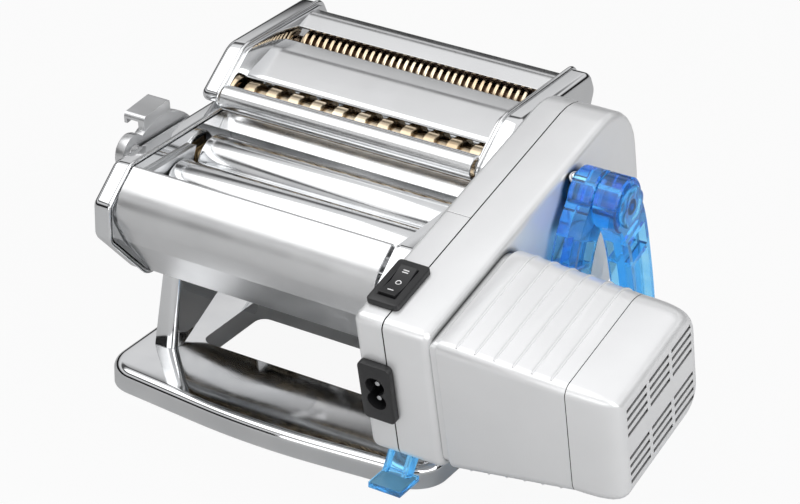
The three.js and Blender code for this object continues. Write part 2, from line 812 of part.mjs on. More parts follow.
// The dial: a disc with a finger hole in a lobe, and a finger tab on its rim.
function dial() {
  const outerX = dialInnerX + dialThickness;
  const round = turned([
    [-outerX, 0],
    [-outerX, dialRadius - dialEdge],
    [-outerX + dialEdge, dialRadius],
    [-dialInnerX, dialRadius],
    [-dialInnerX, 0],
  ], canSides);
  const lobe = [dialLobeY - dialY, dialLobeZ - dialZ];
  const turn = radians(dialTabAngle);
  const grip = [
    [dialTabInner, -dialTabWidth / 2, dialTabCorner],
    [dialTabOuter, -dialTabWidth / 2, dialTabCorner],
    [dialTabOuter, dialTabWidth / 2, dialTabCorner],
    [dialTabInner, dialTabWidth / 2, dialTabCorner],
  ];
  const outline = rounded(grip).map((point) => point.rotateAround(new THREE.Vector2(), turn));
  return joined([
    round,
    bar(dialLobeRadius, -outerX, -dialInnerX, ...lobe, roundSides),
    prismX(outline, -dialInnerX - dialTabReach, -dialInnerX),
  ]).subtract(bar(dialHoleRadius, -outerX - overrun, -dialInnerX + overrun, ...lobe, roundSides));
}

// The cam rises evenly with its angle, and pushes the left bearing block back.
function selectorCam() {
  const lowest = rearRollerY - blockHalf - clearance - dialY;
  const risePerDegree = gapTravel / dialTurn;
  const points = [];
  for (let angle = 0; angle <= dialTurn + camLead; angle += camStep) {
    points.push([lowest + risePerDegree * angle, -angle]);
  }
  for (let angle = dialTurn + 2 * camStep; angle < 360; angle += camStep) {
    points.push([lowest, -angle]);
  }
  const outline = points.map(([radius, angle]) => (
    new THREE.Vector2(radius * Math.cos(radians(angle)), radius * Math.sin(radians(angle)))));
  return prismX(outline, -camInnerX - camThickness, -camInnerX)
    .add(bar(camShaftRadius, -dialInnerX, -camShaftEnd));
}

add(machine, "selector_dial", dial(), silver, [0, dialY, dialZ]);
add(machine, "selector_cam", selectorCam(), steel, [0, dialY, dialZ]);

// Cutter side plate: a dish with a rounded rim.
function cutterPlate(side) {
  const dish = edgedPrism(rounded(cutterCorners), side * cutterRimX, side * coverFaceX, coverEdge);
  const room = prismX(
    rounded(inset(cutterCorners, cutterWall)), ...onSide(side, cutterRimX - overrun, coverInnerX),
  );
  return without(dish, [room, ...(side > 0 ? crankNotches() : [])]);
}

// Inner panel of the cutter, which bears the rollers and reaches down into the body.
function cutterPanel(side) {
  const [from, to] = onSide(side, cutterPanelX, cutterRimX);
  const tongue = overBody([
    [tongueFoot[0], -tongueDepth],
    [tongueFoot[1], -tongueDepth],
    [tongueTop[1], 0],
    [tongueTop[1], tongueOverlap],
    [tongueTop[0], tongueOverlap],
    [tongueTop[0], 0],
  ]);
  const bores = [...driveAxes, ...secondAxes].map((axis) => (
    bar(cutterJournal + clearance, from - overrun, to + overrun, ...axis, roundSides)));
  const panel = prismX(rounded(inset(cutterCorners, cutterWall / 2)), from, to);
  return without(panel.add(prismX(vectors(tongue), from, to)), bores);
}

// The rolled tube along the cutter's front edge, open towards the rollers.
function frontTubeSheet() {
  const [[y, z]] = overBody([frontTube]);
  const centre = new THREE.Vector2(y, z);
  const path = [];
  for (let k = 0; k <= archSteps; k++) {
    const angle = radians(frontTubeFrom + ((frontTubeTo - frontTubeFrom) * k) / archSteps);
    path.push(new THREE.Vector2(frontTubeRadius, 0).rotateAround(new THREE.Vector2(), angle).add(centre));
  }
  return prismX(sheetPoints(path, archSheet), -cutterPanelX, cutterPanelX);
}

// A bent cover sheet over a pair of cutting rollers, drawn from its rear edge to its front.
function cutterCover(places) {
  const path = rounded(overBody(places), false, smoothSteps);
  return prismX(sheetPoints(path, archSheet), -cutterPanelX, cutterPanelX);
}

// A cutting roller: ridges on a core, a short left journal and a right one of its own length.
function cuttingRoller(pitch, fewer, rightEnd) {
  const ridge = (pitch - ridgeGap) / 2;
  const count = Math.floor((2 * cutterHalf - ridge) / pitch) + 1 - fewer;
  const profile = [[-cutterRimX, 0], [-cutterRimX, cutterJournal], [-cutterHalf, cutterJournal]];
  profile.push([-cutterHalf, cutterGroove]);
  for (let k = 0; k < count; k++) {
    const middle = (k - (count - 1) / 2) * pitch;
    profile.push([middle - ridge / 2, cutterGroove], [middle - ridge / 2, cutterRadius]);
    profile.push([middle + ridge / 2, cutterRadius], [middle + ridge / 2, cutterGroove]);
  }
  profile.push([cutterHalf, cutterGroove], [cutterHalf, cutterJournal]);
  profile.push([rightEnd, cutterJournal], [rightEnd, 0]);
  return turned(profile, cutterSides);
}

function addCutterPair(name, pitch, driven, second, angle) {
  const toSecond = radians(angle);
  const drivenPlace = [0, ...driven];
  const secondPlace = [0, ...second];
  const roller = cuttingRoller(pitch, 0, driveJournalEnd);
  const gear = (phase) => gearWheel(
    cutterTeeth, cutterSpacing / 2, phase, cutterGearX, cutterGearX + cutterGearFace, cutterJournal + fitGap,
  );
  add(cutterUnit, `${name}_driven_roller`, roller.subtract(socket(driveJournalEnd, cutterSocketHalf)),
    brass, drivenPlace);
  add(cutterUnit, `${name}_second_roller`, cuttingRoller(pitch, 1, cutterRimX), brass, secondPlace);
  add(cutterUnit, `${name}_driven_gear`, gear(toSecond), steel, drivenPlace);
  add(cutterUnit, `${name}_second_gear`, gear(meshPhase(toSecond, cutterTeeth)), steel, secondPlace);
}

add(cutterUnit, "cutter_left_plate", cutterPlate(-1), chrome);
add(cutterUnit, "cutter_right_plate", cutterPlate(1), chrome);
add(cutterUnit, "cutter_left_panel", cutterPanel(-1), chrome);
add(cutterUnit, "cutter_right_panel", cutterPanel(1), chrome);
add(cutterUnit, "cutter_front_arch", frontTubeSheet(), chrome);
add(cutterUnit, "cutter_middle_arch", cutterCover(middleCover), chrome);
add(cutterUnit, "cutter_rear_arch", cutterCover(narrowCover), chrome);
addCutterPair("wide", widePitch, driveAxes[0], secondAxes[0], wideAngle);
addCutterPair("narrow", narrowPitch, driveAxes[1], secondAxes[1], narrowAngle);

// Motor unit housing, seen from the right: y runs back along its top, z up from it.
function unitCorners() {
  return [
    [0, -unitFrontDrop, unitFootCorner],
    [unitLength, -unitRearDrop, unitBellyRadius],
    [unitLength, 0, unitCrownRadius],
    [0, 0, unitTopCorner],
  ];
}

const unitOutline = (inwards = 0) => rounded(inset(unitCorners(), inwards, leastRadius), true, smoothSteps);

// The barrel's outline, which tapers from the gearbox to the end cap.
function barrelOutline(x, inwards = 0) {
  const share = THREE.MathUtils.clamp((x - barrelX) / (capSeamX - barrelX), 0, 1);
  const [rear, top, foot] = [barrelRear, barrelTop, barrelFoot]
    .map(([atRoot, atCap]) => THREE.MathUtils.lerp(atRoot, atCap, share));
  const corners = [[0, foot], [rear, foot], [rear, top], [0, top]];
  const withRadii = corners.map(([y, z], i) => [y, z, barrelCorners[i]]);
  return rounded(inset(withRadii, inwards, leastRadius), true, smoothSteps);
}

const barrelStation = (x, inwards) => ({ x, points: barrelOutline(x, inwards) });

// Openings for the switch body and the inlet body, cut through whatever they meet.
function unitOpenings() {
  const switchHalf = switchWidth / 2 + clearance;
  const switchReach = switchLength / 2 + clearance;
  const inletHalf = inletBodyWidth / 2 + clearance;
  const inletReach = inletBodyHeight / 2 + clearance;
  return [
    box(bezelMidX - switchHalf, bezelMidX + switchHalf,
      bezelAlong - switchReach, bezelAlong + switchReach, -switchDepth, overrun),
    box(inletMidX - inletHalf, inletMidX + inletHalf,
      -overrun, inletDepth, -inletDown - inletReach, -inletDown + inletReach),
  ];
}

// Inner shell, against the machine, in a front and a rear piece.
function innerShell() {
  const room = prismX(unitOutline(unitWall), unitInnerX + unitWall, unitSeamX + overrun);
  const output = bar(outputOpening, unitInnerX - overrun, unitInnerX + overrun, ...outputAxis, roundSides);
  const shell = edgedPrism(unitOutline(), unitSeamX, unitInnerX, unitEdge);
  return without(shell, [room, output, ...unitOpenings()]);
}

function unitPeg(place) {
  return bar(pegRadius, pegEndX, unitInnerX + unitWall, ...toUnit(...place), pegSides);
}

function frontPanel() {
  const behind = box(
    unitInnerX - overrun, unitSeamX + overrun, panelEnd, unitLength + overrun, -2 * unitRearDrop, overrun);
  const slot = box(
    leverMidX - leverHalf - clearance, leverMidX + leverHalf + clearance,
    leverSlotFrom, leverSlotTo, -unitRearDrop, -unitFrontDrop + overrun);
  return joined([
    without(innerShell(), [behind, slot]),
    unitPeg(frontPeg),
    bar(leverPin, unitInnerX, leverMidX + leverHalf, leverPivot[0], -leverPivot[1]),
  ]);
}

function rearPanel() {
  const ahead = box(
    unitInnerX - overrun, unitSeamX + overrun, -overrun, panelEnd + panelGap, -2 * unitRearDrop, overrun);
  return innerShell().subtract(ahead).add(unitPeg(rearPeg));
}

// Thin ribs round the top and the back of the barrel.
function barrelRib(x) {
  const [from, to] = [x - ribWidth / 2, x + ribWidth / 2];
  const front = box(
    from - overrun, to + overrun, -overrun, ribFront, -unitRearDrop, overrun);
  return loft([barrelStation(from, -ribRise), barrelStation(to, -ribRise)]).subtract(front);
}

// Outer shell: the gearbox, a narrow neck and the tapered barrel.
function outerShell() {
  const ribs = Array.from({ length: ribCount }, (_, k) => barrelRib(ribFirstX + k * ribPitch));
  const whole = joined([
    edgedPrism(unitOutline(), unitSeamX, unitOuterX, unitOuterEdge),
    prismX(barrelOutline(barrelX, neckInset), unitOuterX - unitWall, neckEndX),
    loft([barrelStation(barrelX, 0), barrelStation(capSeamX, 0)]),
    bar(bossRadius, unitOuterX - unitWall, unitOuterX + bossRise, bossAlong, -bossDown, canSides),
    ...ribs,
  ]);
  const hollow = without(whole, [
    prismX(unitOutline(unitWall), unitSeamX - overrun, unitOuterX - unitWall),
    loft([barrelStation(unitOuterX, neckInset + unitWall), barrelStation(capSeamX + overrun, unitWall)]),
    bar(motorOpening, unitSeamX, unitOuterX + overrun, motorAlong, -motorDown, roundSides),
    bar(legPinRadius + fitGap, unitSeamX, unitOuterX + overrun, legPivot[0], -legPivot[1], roundSides),
    ...unitOpenings(),
  ]);
  const posts = [[firstAxle, firstLayerX - trainStep], [secondAxle, firstLayerX - 2 * trainStep]];
  return joined([hollow, ...posts.map(([[along, down], from]) => (
    bar(axleRadius, from, unitOuterX - unitWall, along, -down, roundSides)))]);
}

// End cap, with rows of vents that leave a bare band across the middle.
function endCap() {
  const station = ([rise, inwards]) => barrelStation(capSeamX + rise, inwards);
  const cap = loft(capProfile.map(station)).subtract(loft(capRoom.map(station)));
  const vents = [];
  for (let row = 0; row < ventRows; row++) {
    if (bareRows.includes(row)) continue;
    for (let column = 0; column < ventColumns; column++) {
      const along = ventFirstAlong + column * (ventLength + ventGap);
      const drop = ventFirstDown + row * ventPitch;
      vents.push(box(
        capFaceX - ventDepth, capFaceX + overrun, along, along + ventLength,
        -drop - ventWidth / 2, -drop + ventWidth / 2,
      ));
    }
  }
  return without(cap, vents);
}

add(motorUnit, "unit_front_panel", frontPanel(), silver);
add(motorUnit, "unit_rear_panel", rearPanel(), silver);
add(motorUnit, "unit_outer_shell", outerShell(), silver);
add(motorUnit, "unit_end_cap", endCap(), silver);

// Motor can, resting on the gearbox wall; its shaft runs through it.
function motorCan() {
  const bossEnd = motorLength + motorBossLength;
  const can = turned([
    [0, 0], [0, motorRadius], [motorLength - motorShoulder, motorRadius],
    [motorLength, motorRadius - motorShoulder], [motorLength, motorBossRadius],
    [bossEnd, motorBossRadius], [bossEnd, 0],
  ], canSides);
  return can.subtract(bar(shaftRadius + clearance, -overrun, bossEnd + overrun));
}

const distance = ([a, b], [c, d]) => Math.hypot(a - c, b - d);
const angleTo = ([a, b], [c, d]) => Math.atan2(d - b, c - a);
const down = ([along, drop]) => [along, -drop];
const motorAxis = [motorAlong, -motorDown];
const firstAxis = down(firstAxle);
const secondAxis = down(secondAxle);
const secondLayerX = firstLayerX - trainStep;
const thirdLayerX = secondLayerX - trainStep;

// Pitch radius of the gear with this many teeth, when it meets another across a distance.
const pitchFor = (teeth, others, apart) => (apart * teeth) / (teeth + others);

function rotor() {
  const radius = pitchFor(pinionTeeth, firstTeeth, distance(motorAxis, firstAxis));
  const pinion = prismX(
    gearPoints(pinionTeeth, radius, angleTo(motorAxis, firstAxis)), firstLayerX, firstLayerX + trainFace,
  );
  return pinion.add(bar(shaftRadius, shaftInnerX, shaftOuterX));
}

function fan() {
  const blades = Array.from({ length: fanBlades }, (_, k) => {
    const geometry = new THREE.BoxGeometry(fanDepth, fanRadius - fanHub / 2, fanBlade);
    geometry.translate(fanX + fanDepth / 2, (fanRadius + fanHub / 2) / 2, 0);
    return solid(geometry.rotateX((2 * Math.PI * k) / fanBlades));
  });
  const hub = bar(fanHub, fanX, fanX + fanDepth, 0, 0, roundSides);
  return joined([hub, ...blades]).subtract(bar(shaftRadius + fitGap, fanX - overrun, capFaceX));
}

// A wheel and a pinion on one post: the wheel meets what comes before, the pinion what follows.
function compoundGear(axis, before, after, teeth, nextTeeth, wheelX) {
  const wheelRadius = pitchFor(teeth, pinionTeeth, distance(before, axis));
  const pinionRadius = pitchFor(pinionTeeth, nextTeeth, distance(axis, after));
  const wheelPhase = meshPhase(angleTo(before, axis), teeth);
  const wheel = prismX(gearPoints(teeth, wheelRadius, wheelPhase), wheelX, wheelX + trainFace);
  const pinion = prismX(
    gearPoints(pinionTeeth, pinionRadius, angleTo(axis, after)), wheelX - trainStep, wheelX,
  );
  const bore = bar(axleRadius + clearance, wheelX - 2 * trainStep, wheelX + trainStep, 0, 0, roundSides);
  return wheel.add(pinion).subtract(bore);
}

function outputGear() {
  const radius = pitchFor(outputTeeth, pinionTeeth, distance(secondAxis, outputAxis));
  const phase = meshPhase(angleTo(secondAxis, outputAxis), outputTeeth);
  const coupling = new THREE.BoxGeometry(couplingLength, 2 * couplingHalf, 2 * couplingHalf);
  coupling.translate(couplingEndX + couplingLength / 2, 0, 0).rotateX(-radians(unitTilt));
  return joined([
    prismX(gearPoints(outputTeeth, radius, phase), thirdLayerX, thirdLayerX + trainFace),
    bar(outputShaftRadius, unitInnerX, outputShaftEnd, 0, 0, roundSides),
    solid(coupling),
  ]);
}

function outputBush() {
  const start = unitInnerX + unitWall;
  return turned([
    [start, 0], [start, bushFlange], [start + bushFlangeSheet, bushFlange],
    [start + bushFlangeSheet, bushRadius], [start + bushLength, bushRadius], [start + bushLength, 0],
  ]).subtract(bar(outputShaftRadius + clearance, start - overrun, start + 2 * bushLength, 0, 0, roundSides));
}

const unitPlace = ([y, z], x = 0) => [x, y, z];
add(motorUnit, "motor_can", motorCan(), steel, unitPlace(motorAxis, unitOuterX));
add(motorUnit, "motor_rotor", rotor(), steel, unitPlace(motorAxis));
add(motorUnit, "motor_fan", fan(), nylon, unitPlace(motorAxis));
add(motorUnit, "first_gear", compoundGear(
  firstAxis, motorAxis, secondAxis, firstTeeth, secondTeeth, firstLayerX,
), nylon, unitPlace(firstAxis));
add(motorUnit, "second_gear", compoundGear(
  secondAxis, firstAxis, outputAxis, secondTeeth, outputTeeth, secondLayerX,
), nylon, unitPlace(secondAxis));
add(motorUnit, "output_gear", outputGear(), steel, unitPlace(outputAxis));
add(motorUnit, "output_bush", outputBush(), brass, unitPlace(outputAxis));

const frameCorners = (halfA, halfB, radius) => [
  [-halfA, -halfB, radius], [halfA, -halfB, radius], [halfA, halfB, radius], [-halfA, halfB, radius],
];

// Switch bezel with its body below, and a well for the rocker.
function switchBezel() {
  const plate = prismZ(
    rounded(frameCorners(bezelWidth / 2, bezelLength / 2, bezelCorner)), seatGap, bezelRise,
  );
  const body = box(
    -switchWidth / 2, switchWidth / 2, -switchLength / 2, switchLength / 2, -switchDepth, bezelRise / 2,
  );
  const wellHalf = rockerWidth / 2 + clearance;
  const wellReach = rockerHalf + rockerGap;
  const well = box(-wellHalf, wellHalf, -wellReach, wellReach, -rockerWell, bezelRise + overrun);
  return plate.add(body).subtract(well);
}

function rocker() {
  const outline = [
    [-rockerHalf, -rockerShoulder], [-rockerKeel, -rockerDrop],
    [rockerKeel, -rockerDrop], [rockerHalf, -rockerShoulder],
    [rockerHalf, rockerTip], [0, rockerValley], [-rockerHalf, rockerTip],
  ];
  return prismX(vectors(outline), -rockerWidth / 2, rockerWidth / 2);
}

// Inlet: a raised block with a figure-of-eight well and two pins in it.
function inlet() {
  const plate = prismY(
    rounded(frameCorners(inletWidth / 2, inletHeight / 2, inletCorner)), -inletRise, -seatGap,
  );
  const body = box(
    -inletBodyWidth / 2, inletBodyWidth / 2, -inletRise / 2, inletDepth,
    -inletBodyHeight / 2, inletBodyHeight / 2,
  );
  const across = (radius, from, to, z, sides) => {
    const geometry = new THREE.CylinderGeometry(radius, radius, to - from, sides);
    return solid(geometry.translate(0, (from + to) / 2, z));
  };
  const ends = [-pinPitch / 2, pinPitch / 2];
  const wells = ends.map((z) => across(inletHoleRadius, -inletRise - overrun, inletWell, z, roundSides));
  const pins = ends.map((z) => across(pinRadius, 0, inletWell + pinRoot, z, pinSides));
  return joined([without(plate.add(body), wells), ...pins]);
}

add(motorUnit, "switch_bezel", switchBezel(), black, [bezelMidX, bezelAlong, 0]);
add(motorUnit, "switch_rocker", rocker(), black, [bezelMidX, bezelAlong, bezelRise / 2]);
add(motorUnit, "power_inlet", inlet(), black, [inletMidX, 0, -inletDown]);

// A leg: a curved arm with a knuckle, thinned on both sides except for a rim and cross ribs.
function leg(path) {
  const curve = new THREE.SplineCurve(vectors(path.map(([along, drop]) => (
    [along - legPivot[0], legPivot[1] - drop]))));
  const widths = new THREE.SplineCurve(vectors(legHalfWidths.map((half, i) => [i, half])));
  const band = (from, to, steps, inwards) => {
    const shares = Array.from({ length: steps + 1 }, (_, k) => from + ((to - from) * k) / steps);
    return bandPoints(
      shares.map((share) => curve.getPoint(share)),
      shares.map((share) => widths.getPoint(share).y - inwards),
    );
  };
  const foot = curve.getPoint(1);
  const arm = joined([
    prismX(band(0, 1, legSteps, 0), 0, legThickness),
    bar(legKnuckle, 0, legThickness, 0, 0, canSides),
    bar(legFootRadius, 0, legThickness, foot.x, foot.y, smallSides),
  ]);
  const pocketDepth = (legThickness - legWeb) / 2;
  const pockets = legRibs.slice(1).flatMap((to, i) => {
    const outline = band(legRibs[i] + legRibShare, to, 3, legRim);
    return [
      prismX(outline, -overrun, pocketDepth),
      prismX(outline, legThickness - pocketDepth, legThickness + overrun),
    ];
  });
  const bore = bar(legPinRadius + clearance, -overrun, legThickness + overrun, 0, 0, roundSides);
  return without(arm, [...pockets, bore]);
}

const legPlace = (x) => [x, legPivot[0], -legPivot[1]];
const outerLegX = legInnerX + legThickness + legGap;
const screwOffset = [screwPlace[0] - legPivot[0], legPivot[1] - screwPlace[1]];

function innerLeg() {
  return leg(innerLegPath).subtract(
    bar(screwShank + fitGap, -overrun, screwDepth + clearance, ...screwOffset));
}

// The pin that both legs turn on, with a lobed cap on its outer end.
function legPin() {
  const capX = outerLegX + legThickness + clearance;
  const lobes = Array.from({ length: rosetteSides }, (_, k) => {
    const angle = (2 * Math.PI * k) / rosetteSides;
    const radius = rosetteRadius * (1 - rosetteShare * (1 - Math.cos(rosetteLobes * angle)) / 2);
    return new THREE.Vector2(radius * Math.cos(angle), radius * Math.sin(angle));
  });
  return joined([
    bar(legPinRadius, unitOuterX - unitWall, capX, 0, 0, roundSides),
    bar(legPinCollar, unitOuterX, legInnerX - clearance, 0, 0, roundSides),
    prismX(lobes, capX, capX + rosetteSheet),
  ]);
}

function legScrew() {
  const dome = Array.from({ length: arcSteps + 1 }, (_, k) => {
    const angle = (Math.PI * k) / (2 * arcSteps);
    return [-screwRadius * Math.cos(angle), screwRadius * Math.sin(angle)];
  });
  return turned([...dome, [0, screwShank], [screwDepth, screwShank], [screwDepth, 0]], smallSides);
}

// The lever: a channel that turns on a pin in the front panel, with a level pad at its end.
function lever() {
  const path = vectors(leverPath);
  const arm = prismX(bandPoints(path, leverHalfWidths), -leverHalf, leverHalf);
  const knuckle = bar(leverKnuckle, -leverHalf, leverHalf, 0, 0, roundSides);
  const channel = bandPoints(path, leverHalfWidths.map((half) => half - leverWall))
    .map((point) => point.add(new THREE.Vector2(...leverChannelShift)));
  const pad = box(
    -leverPadHalf, leverPadHalf, leverPad[0] - leverPadHalf, leverPad[0] + leverPadHalf,
    leverPad[1] - leverPadSheet / 2, leverPad[1] + leverPadSheet / 2,
  );
  return joined([
    arm.subtract(prismX(channel, -leverHalf + leverWall, leverHalf - leverWall)), knuckle, pad,
  ]).subtract(bar(leverPin + clearance, -leverHalf - overrun, leverHalf + overrun));
}

add(motorUnit, "inner_leg", innerLeg(), blue, legPlace(legInnerX));
add(motorUnit, "outer_leg", leg(outerLegPath), blue, legPlace(outerLegX));
add(motorUnit, "leg_pin", legPin(), chrome, legPlace(0));
add(motorUnit, "leg_screw", legScrew(), chrome, [legInnerX, screwPlace[0], -screwPlace[1]]);
add(motorUnit, "release_lever", lever(), blue, [leverMidX, leverPivot[0], -leverPivot[1]])
  .rotation.x = -radians(unitTilt);

export default machine;
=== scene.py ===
# Electric pasta maker: materials, dressed pieces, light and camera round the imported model.
import json
import math

import bmesh
import bpy
from mathutils import Matrix, Vector


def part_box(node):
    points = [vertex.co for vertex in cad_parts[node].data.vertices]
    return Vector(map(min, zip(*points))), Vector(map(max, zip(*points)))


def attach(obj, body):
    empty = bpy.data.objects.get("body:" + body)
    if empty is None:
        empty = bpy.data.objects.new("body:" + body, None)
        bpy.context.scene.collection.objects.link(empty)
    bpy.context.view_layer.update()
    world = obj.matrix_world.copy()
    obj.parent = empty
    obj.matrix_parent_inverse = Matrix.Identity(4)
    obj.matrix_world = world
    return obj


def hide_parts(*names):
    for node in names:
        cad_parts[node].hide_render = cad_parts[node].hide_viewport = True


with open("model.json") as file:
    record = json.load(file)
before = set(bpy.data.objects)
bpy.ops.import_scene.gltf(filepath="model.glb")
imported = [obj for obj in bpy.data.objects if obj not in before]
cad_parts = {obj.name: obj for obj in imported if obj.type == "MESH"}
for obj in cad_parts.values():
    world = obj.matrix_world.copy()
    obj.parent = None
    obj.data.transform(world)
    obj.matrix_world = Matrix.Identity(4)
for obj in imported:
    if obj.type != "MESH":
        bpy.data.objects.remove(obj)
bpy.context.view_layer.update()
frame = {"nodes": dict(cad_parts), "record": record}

MM = 0.001
BASE_LOW, BASE_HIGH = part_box("base_frame")
BASE_MIDDLE_Y = (BASE_LOW[1] + BASE_HIGH[1]) / 2

# Camera, fitted to the photograph
CAMERA_PLACE = (0.6609, -1.0263, 0.7352)
CAMERA_RIGHT = (0.8540, 0.5198, 0.0196)
CAMERA_DOWN = (0.2597, -0.3933, -0.8820)
CAMERA_FORWARD = (-0.4507, 0.7583, -0.4709)
CAMERA_LENS = 128.25
CAMERA_SENSOR = 36
CAMERA_NEAR = 0.05

# Floor, sky as (share of the way up, level) and lamps as (place, target, size, watts), in metres
FLOOR_HALF = 6
FLOOR_GREY = (0.50, 0.50, 0.50)
FLOOR_ROUGHNESS = 0.6
FLOOR_WHITE = 0.93
SKY_LEVEL = 0.85
SKY_BLUE = 1.01
SKY = ((0.0, 0.4), (0.46, 0.4), (0.5, 0.02), (0.64, 0.02), (0.68, 0.7), (0.76, 0.9), (0.79, 0.1), (0.83, 0.1),
       (0.87, 1.0), (0.98, 1.05))
LAMPS = {
    "key": ((-0.7, -0.5, 1.7), (0, 0, 0.08), (2.0, 1.4), 9),
    "fill": ((1.4, -0.4, 0.8), (0.05, 0, 0.08), (1.6, 1.4), 14),
    "front": ((0.1, -1.8, 0.5), (0.05, 0, 0.08), (1.8, 0.8), 7),
}

# Materials: scales of noise are per metre
TINT_SCALE = 38
SMEAR_SCALE = 55
SMEAR_STRETCH = (1, 1.6, 0.7)
WAVE_SCALE = 14
WAVE_DEPTH = 0.2 * MM
LINE_SCALE = 900
LINE_DEPTH = 0.02 * MM
# Reach of the painted shade that darkens a metal's grooves
METAL_SHADE_REACH = 4 * MM
SHADE_SCALE = 26
GLOSS_SCALE = 70
GLOSS_SPREAD = 0.09
GRAIN_DEPTH = 0.03 * MM
COAT_ROUGHNESS = 0.12
# Reach and end of the painted shade that darkens a plastic's slits and seams
PLASTIC_SHADE_REACH = 6 * MM
PLASTIC_SHADE_END = 0.72
HAZE_SCALE = 60
HAZE_STRETCH = (1, 1, 2)
FILM_SCALE = 90
FLOW_SCALE = 160
FLOW_DEPTH = 0.05 * MM


class Nodes:
    """A material's node tree, with short names for the nodes that this scene uses."""

    # The Mix node's colour sockets share their names with its other kinds, so they go by number
    MIX_COLOURS = (6, 7)
    MIX_RESULT = 2

    def __init__(self, name):
        self.material = bpy.data.materials.new(name)
        self.material.use_nodes = True
        self.tree = self.material.node_tree
        self.shader = self.tree.nodes["Principled BSDF"]
        self.place = self.tree.nodes.new("ShaderNodeTexCoord").outputs["Object"]

    def link(self, source, target):
        self.tree.links.new(source, target)

    def node(self, kind, **sockets):
        made = self.tree.nodes.new("ShaderNode" + kind)
        for key, value in sockets.items():
            socket = made.inputs[key.replace("_", " ")]
            if isinstance(value, bpy.types.NodeSocket):
                self.link(value, socket)
            else:
                socket.default_value = value
        return made

    def stretched(self, scale):
        """The object's own coordinates, scaled differently along each axis."""
        return self.node("Mapping", Vector=self.place, Scale=scale).outputs["Vector"]

    def noise(self, scale, detail, stretch=(1, 1, 1), roughness=0.5):
        made = self.node("TexNoise", Vector=self.stretched(stretch), Scale=scale, Detail=detail,
                         Roughness=roughness)
        return made.outputs["Fac"]

    def ramp(self, value, low, high, start=0.3, end=0.7):
        """A value between low and high, as another goes from start to end."""
        made = self.node("MapRange", Value=value)
        for key, number in zip(("From Min", "From Max", "To Min", "To Max"), (start, end, low, high)):
            made.inputs[key].default_value = number
        return made.outputs["Result"]

    def blended(self, factor, first, second):
        made = self.tree.nodes.new("ShaderNodeMix")
        made.data_type = "RGBA"
        self.link(factor, made.inputs["Factor"])
        for place, colour in zip(self.MIX_COLOURS, (first, second)):
            if isinstance(colour, bpy.types.NodeSocket):
                self.link(colour, made.inputs[place])
            else:
                made.inputs[place].default_value = (*colour, 1)
        return made.outputs[self.MIX_RESULT]

    def painted_crevice_shade(self, distance, crevice_shade_colour, colour, start=0.35, end=0.8):
        """Painted shade: a colour that turns to a dark one in grooves narrower than a distance, where shade
        falls.
        """
        openness = self.node("AmbientOcclusion", Distance=distance).outputs["AO"]
        return self.blended(self.ramp(openness, 0, 1, start, end), crevice_shade_colour, colour)

    def bump(self, height, strength, distance, normal=None):
        made = self.node("Bump", Height=height, Strength=strength, Distance=distance)
        if normal is not None:
            self.link(normal, made.inputs["Normal"])
        return made.outputs["Normal"]

    def set(self, **values):
        for key, value in values.items():
            socket = self.shader.inputs[key.replace("_", " ")]
            if isinstance(value, bpy.types.NodeSocket):
                self.link(value, socket)
            else:
                socket.default_value = (*value, 1) if isinstance(value, tuple) and len(value) == 3 else value


def metal(name, dark, light, roughness, spread, waves=0.0, lines=0.0, stretch=(1, 1, 1), crevice_shade_colour=None):
    """Polished or ground metal: faint tint change, smears in its gloss, sheet waves, fine lines and, given a
    crevice colour, painted shade in grooves.
    """
    made = Nodes(name)
    colour = made.blended(made.ramp(made.noise(TINT_SCALE, detail=2), 0, 1), dark, light)
    smears = made.noise(SMEAR_SCALE, detail=5, stretch=SMEAR_STRETCH, roughness=0.6)
    # With a crevice colour, the base colour darkens in narrow grooves as painted shade
    made.set(
        Base_Color=made.painted_crevice_shade(METAL_SHADE_REACH, crevice_shade_colour, colour) if crevice_shade_colour else colour, Metallic=1.0,
        Roughness=made.ramp(smears, roughness, roughness + spread, start=0.35, end=0.75),
    )
    normal = made.bump(made.noise(WAVE_SCALE, detail=1), waves, WAVE_DEPTH) if waves else None
    if lines:
        normal = made.bump(made.noise(LINE_SCALE, detail=2, stretch=stretch), lines, LINE_DEPTH, normal)
    if normal is not None:
        made.set(Normal=normal)
    return made.material


def moulded(name, dark, light, roughness, grain, depth, metallic=0.0, coat=0.0, crevice_shade_colour=None):
    """Moulded plastic: a fine grain, a slight change of tone, softly varying gloss and, given a crevice
    colour, painted shade in slits and seams.
    """
    made = Nodes(name)
    colour = made.blended(made.ramp(made.noise(SHADE_SCALE, detail=3), 0, 1), dark, light)
    # With a crevice colour, the base colour darkens in narrow slits and seams as painted shade
    made.set(
        Base_Color=made.painted_crevice_shade(PLASTIC_SHADE_REACH, crevice_shade_colour, colour, end=PLASTIC_SHADE_END) if crevice_shade_colour else colour, Metallic=metallic,
        Roughness=made.ramp(made.noise(GLOSS_SCALE, detail=4), roughness, roughness + GLOSS_SPREAD),
        Normal=made.bump(made.noise(grain, detail=2), depth, GRAIN_DEPTH),
        Coat_Weight=coat, Coat_Roughness=COAT_ROUGHNESS,
    )
    return made.material


def clear_plastic(name, dark, light, passing, density):
    """Clear moulded plastic, deeper where it is thicker, with a little haze and flow marks."""
    made = Nodes(name)
    haze = made.ramp(made.noise(HAZE_SCALE, detail=3, stretch=HAZE_STRETCH), 0, 1)
    made.set(
        Base_Color=made.blended(haze, dark, light), IOR=1.42, Transmission_Weight=0.9,
        Roughness=made.ramp(made.noise(FILM_SCALE, detail=3), 0.03, 0.10),
        Normal=made.bump(made.noise(FLOW_SCALE, detail=2), 0.25, FLOW_DEPTH),
    )
    inside = made.node("VolumeAbsorption", Color=(*passing, 1), Density=density)
    made.link(inside.outputs["Volume"], made.tree.nodes["Material Output"].inputs["Volume"])
    return made.material


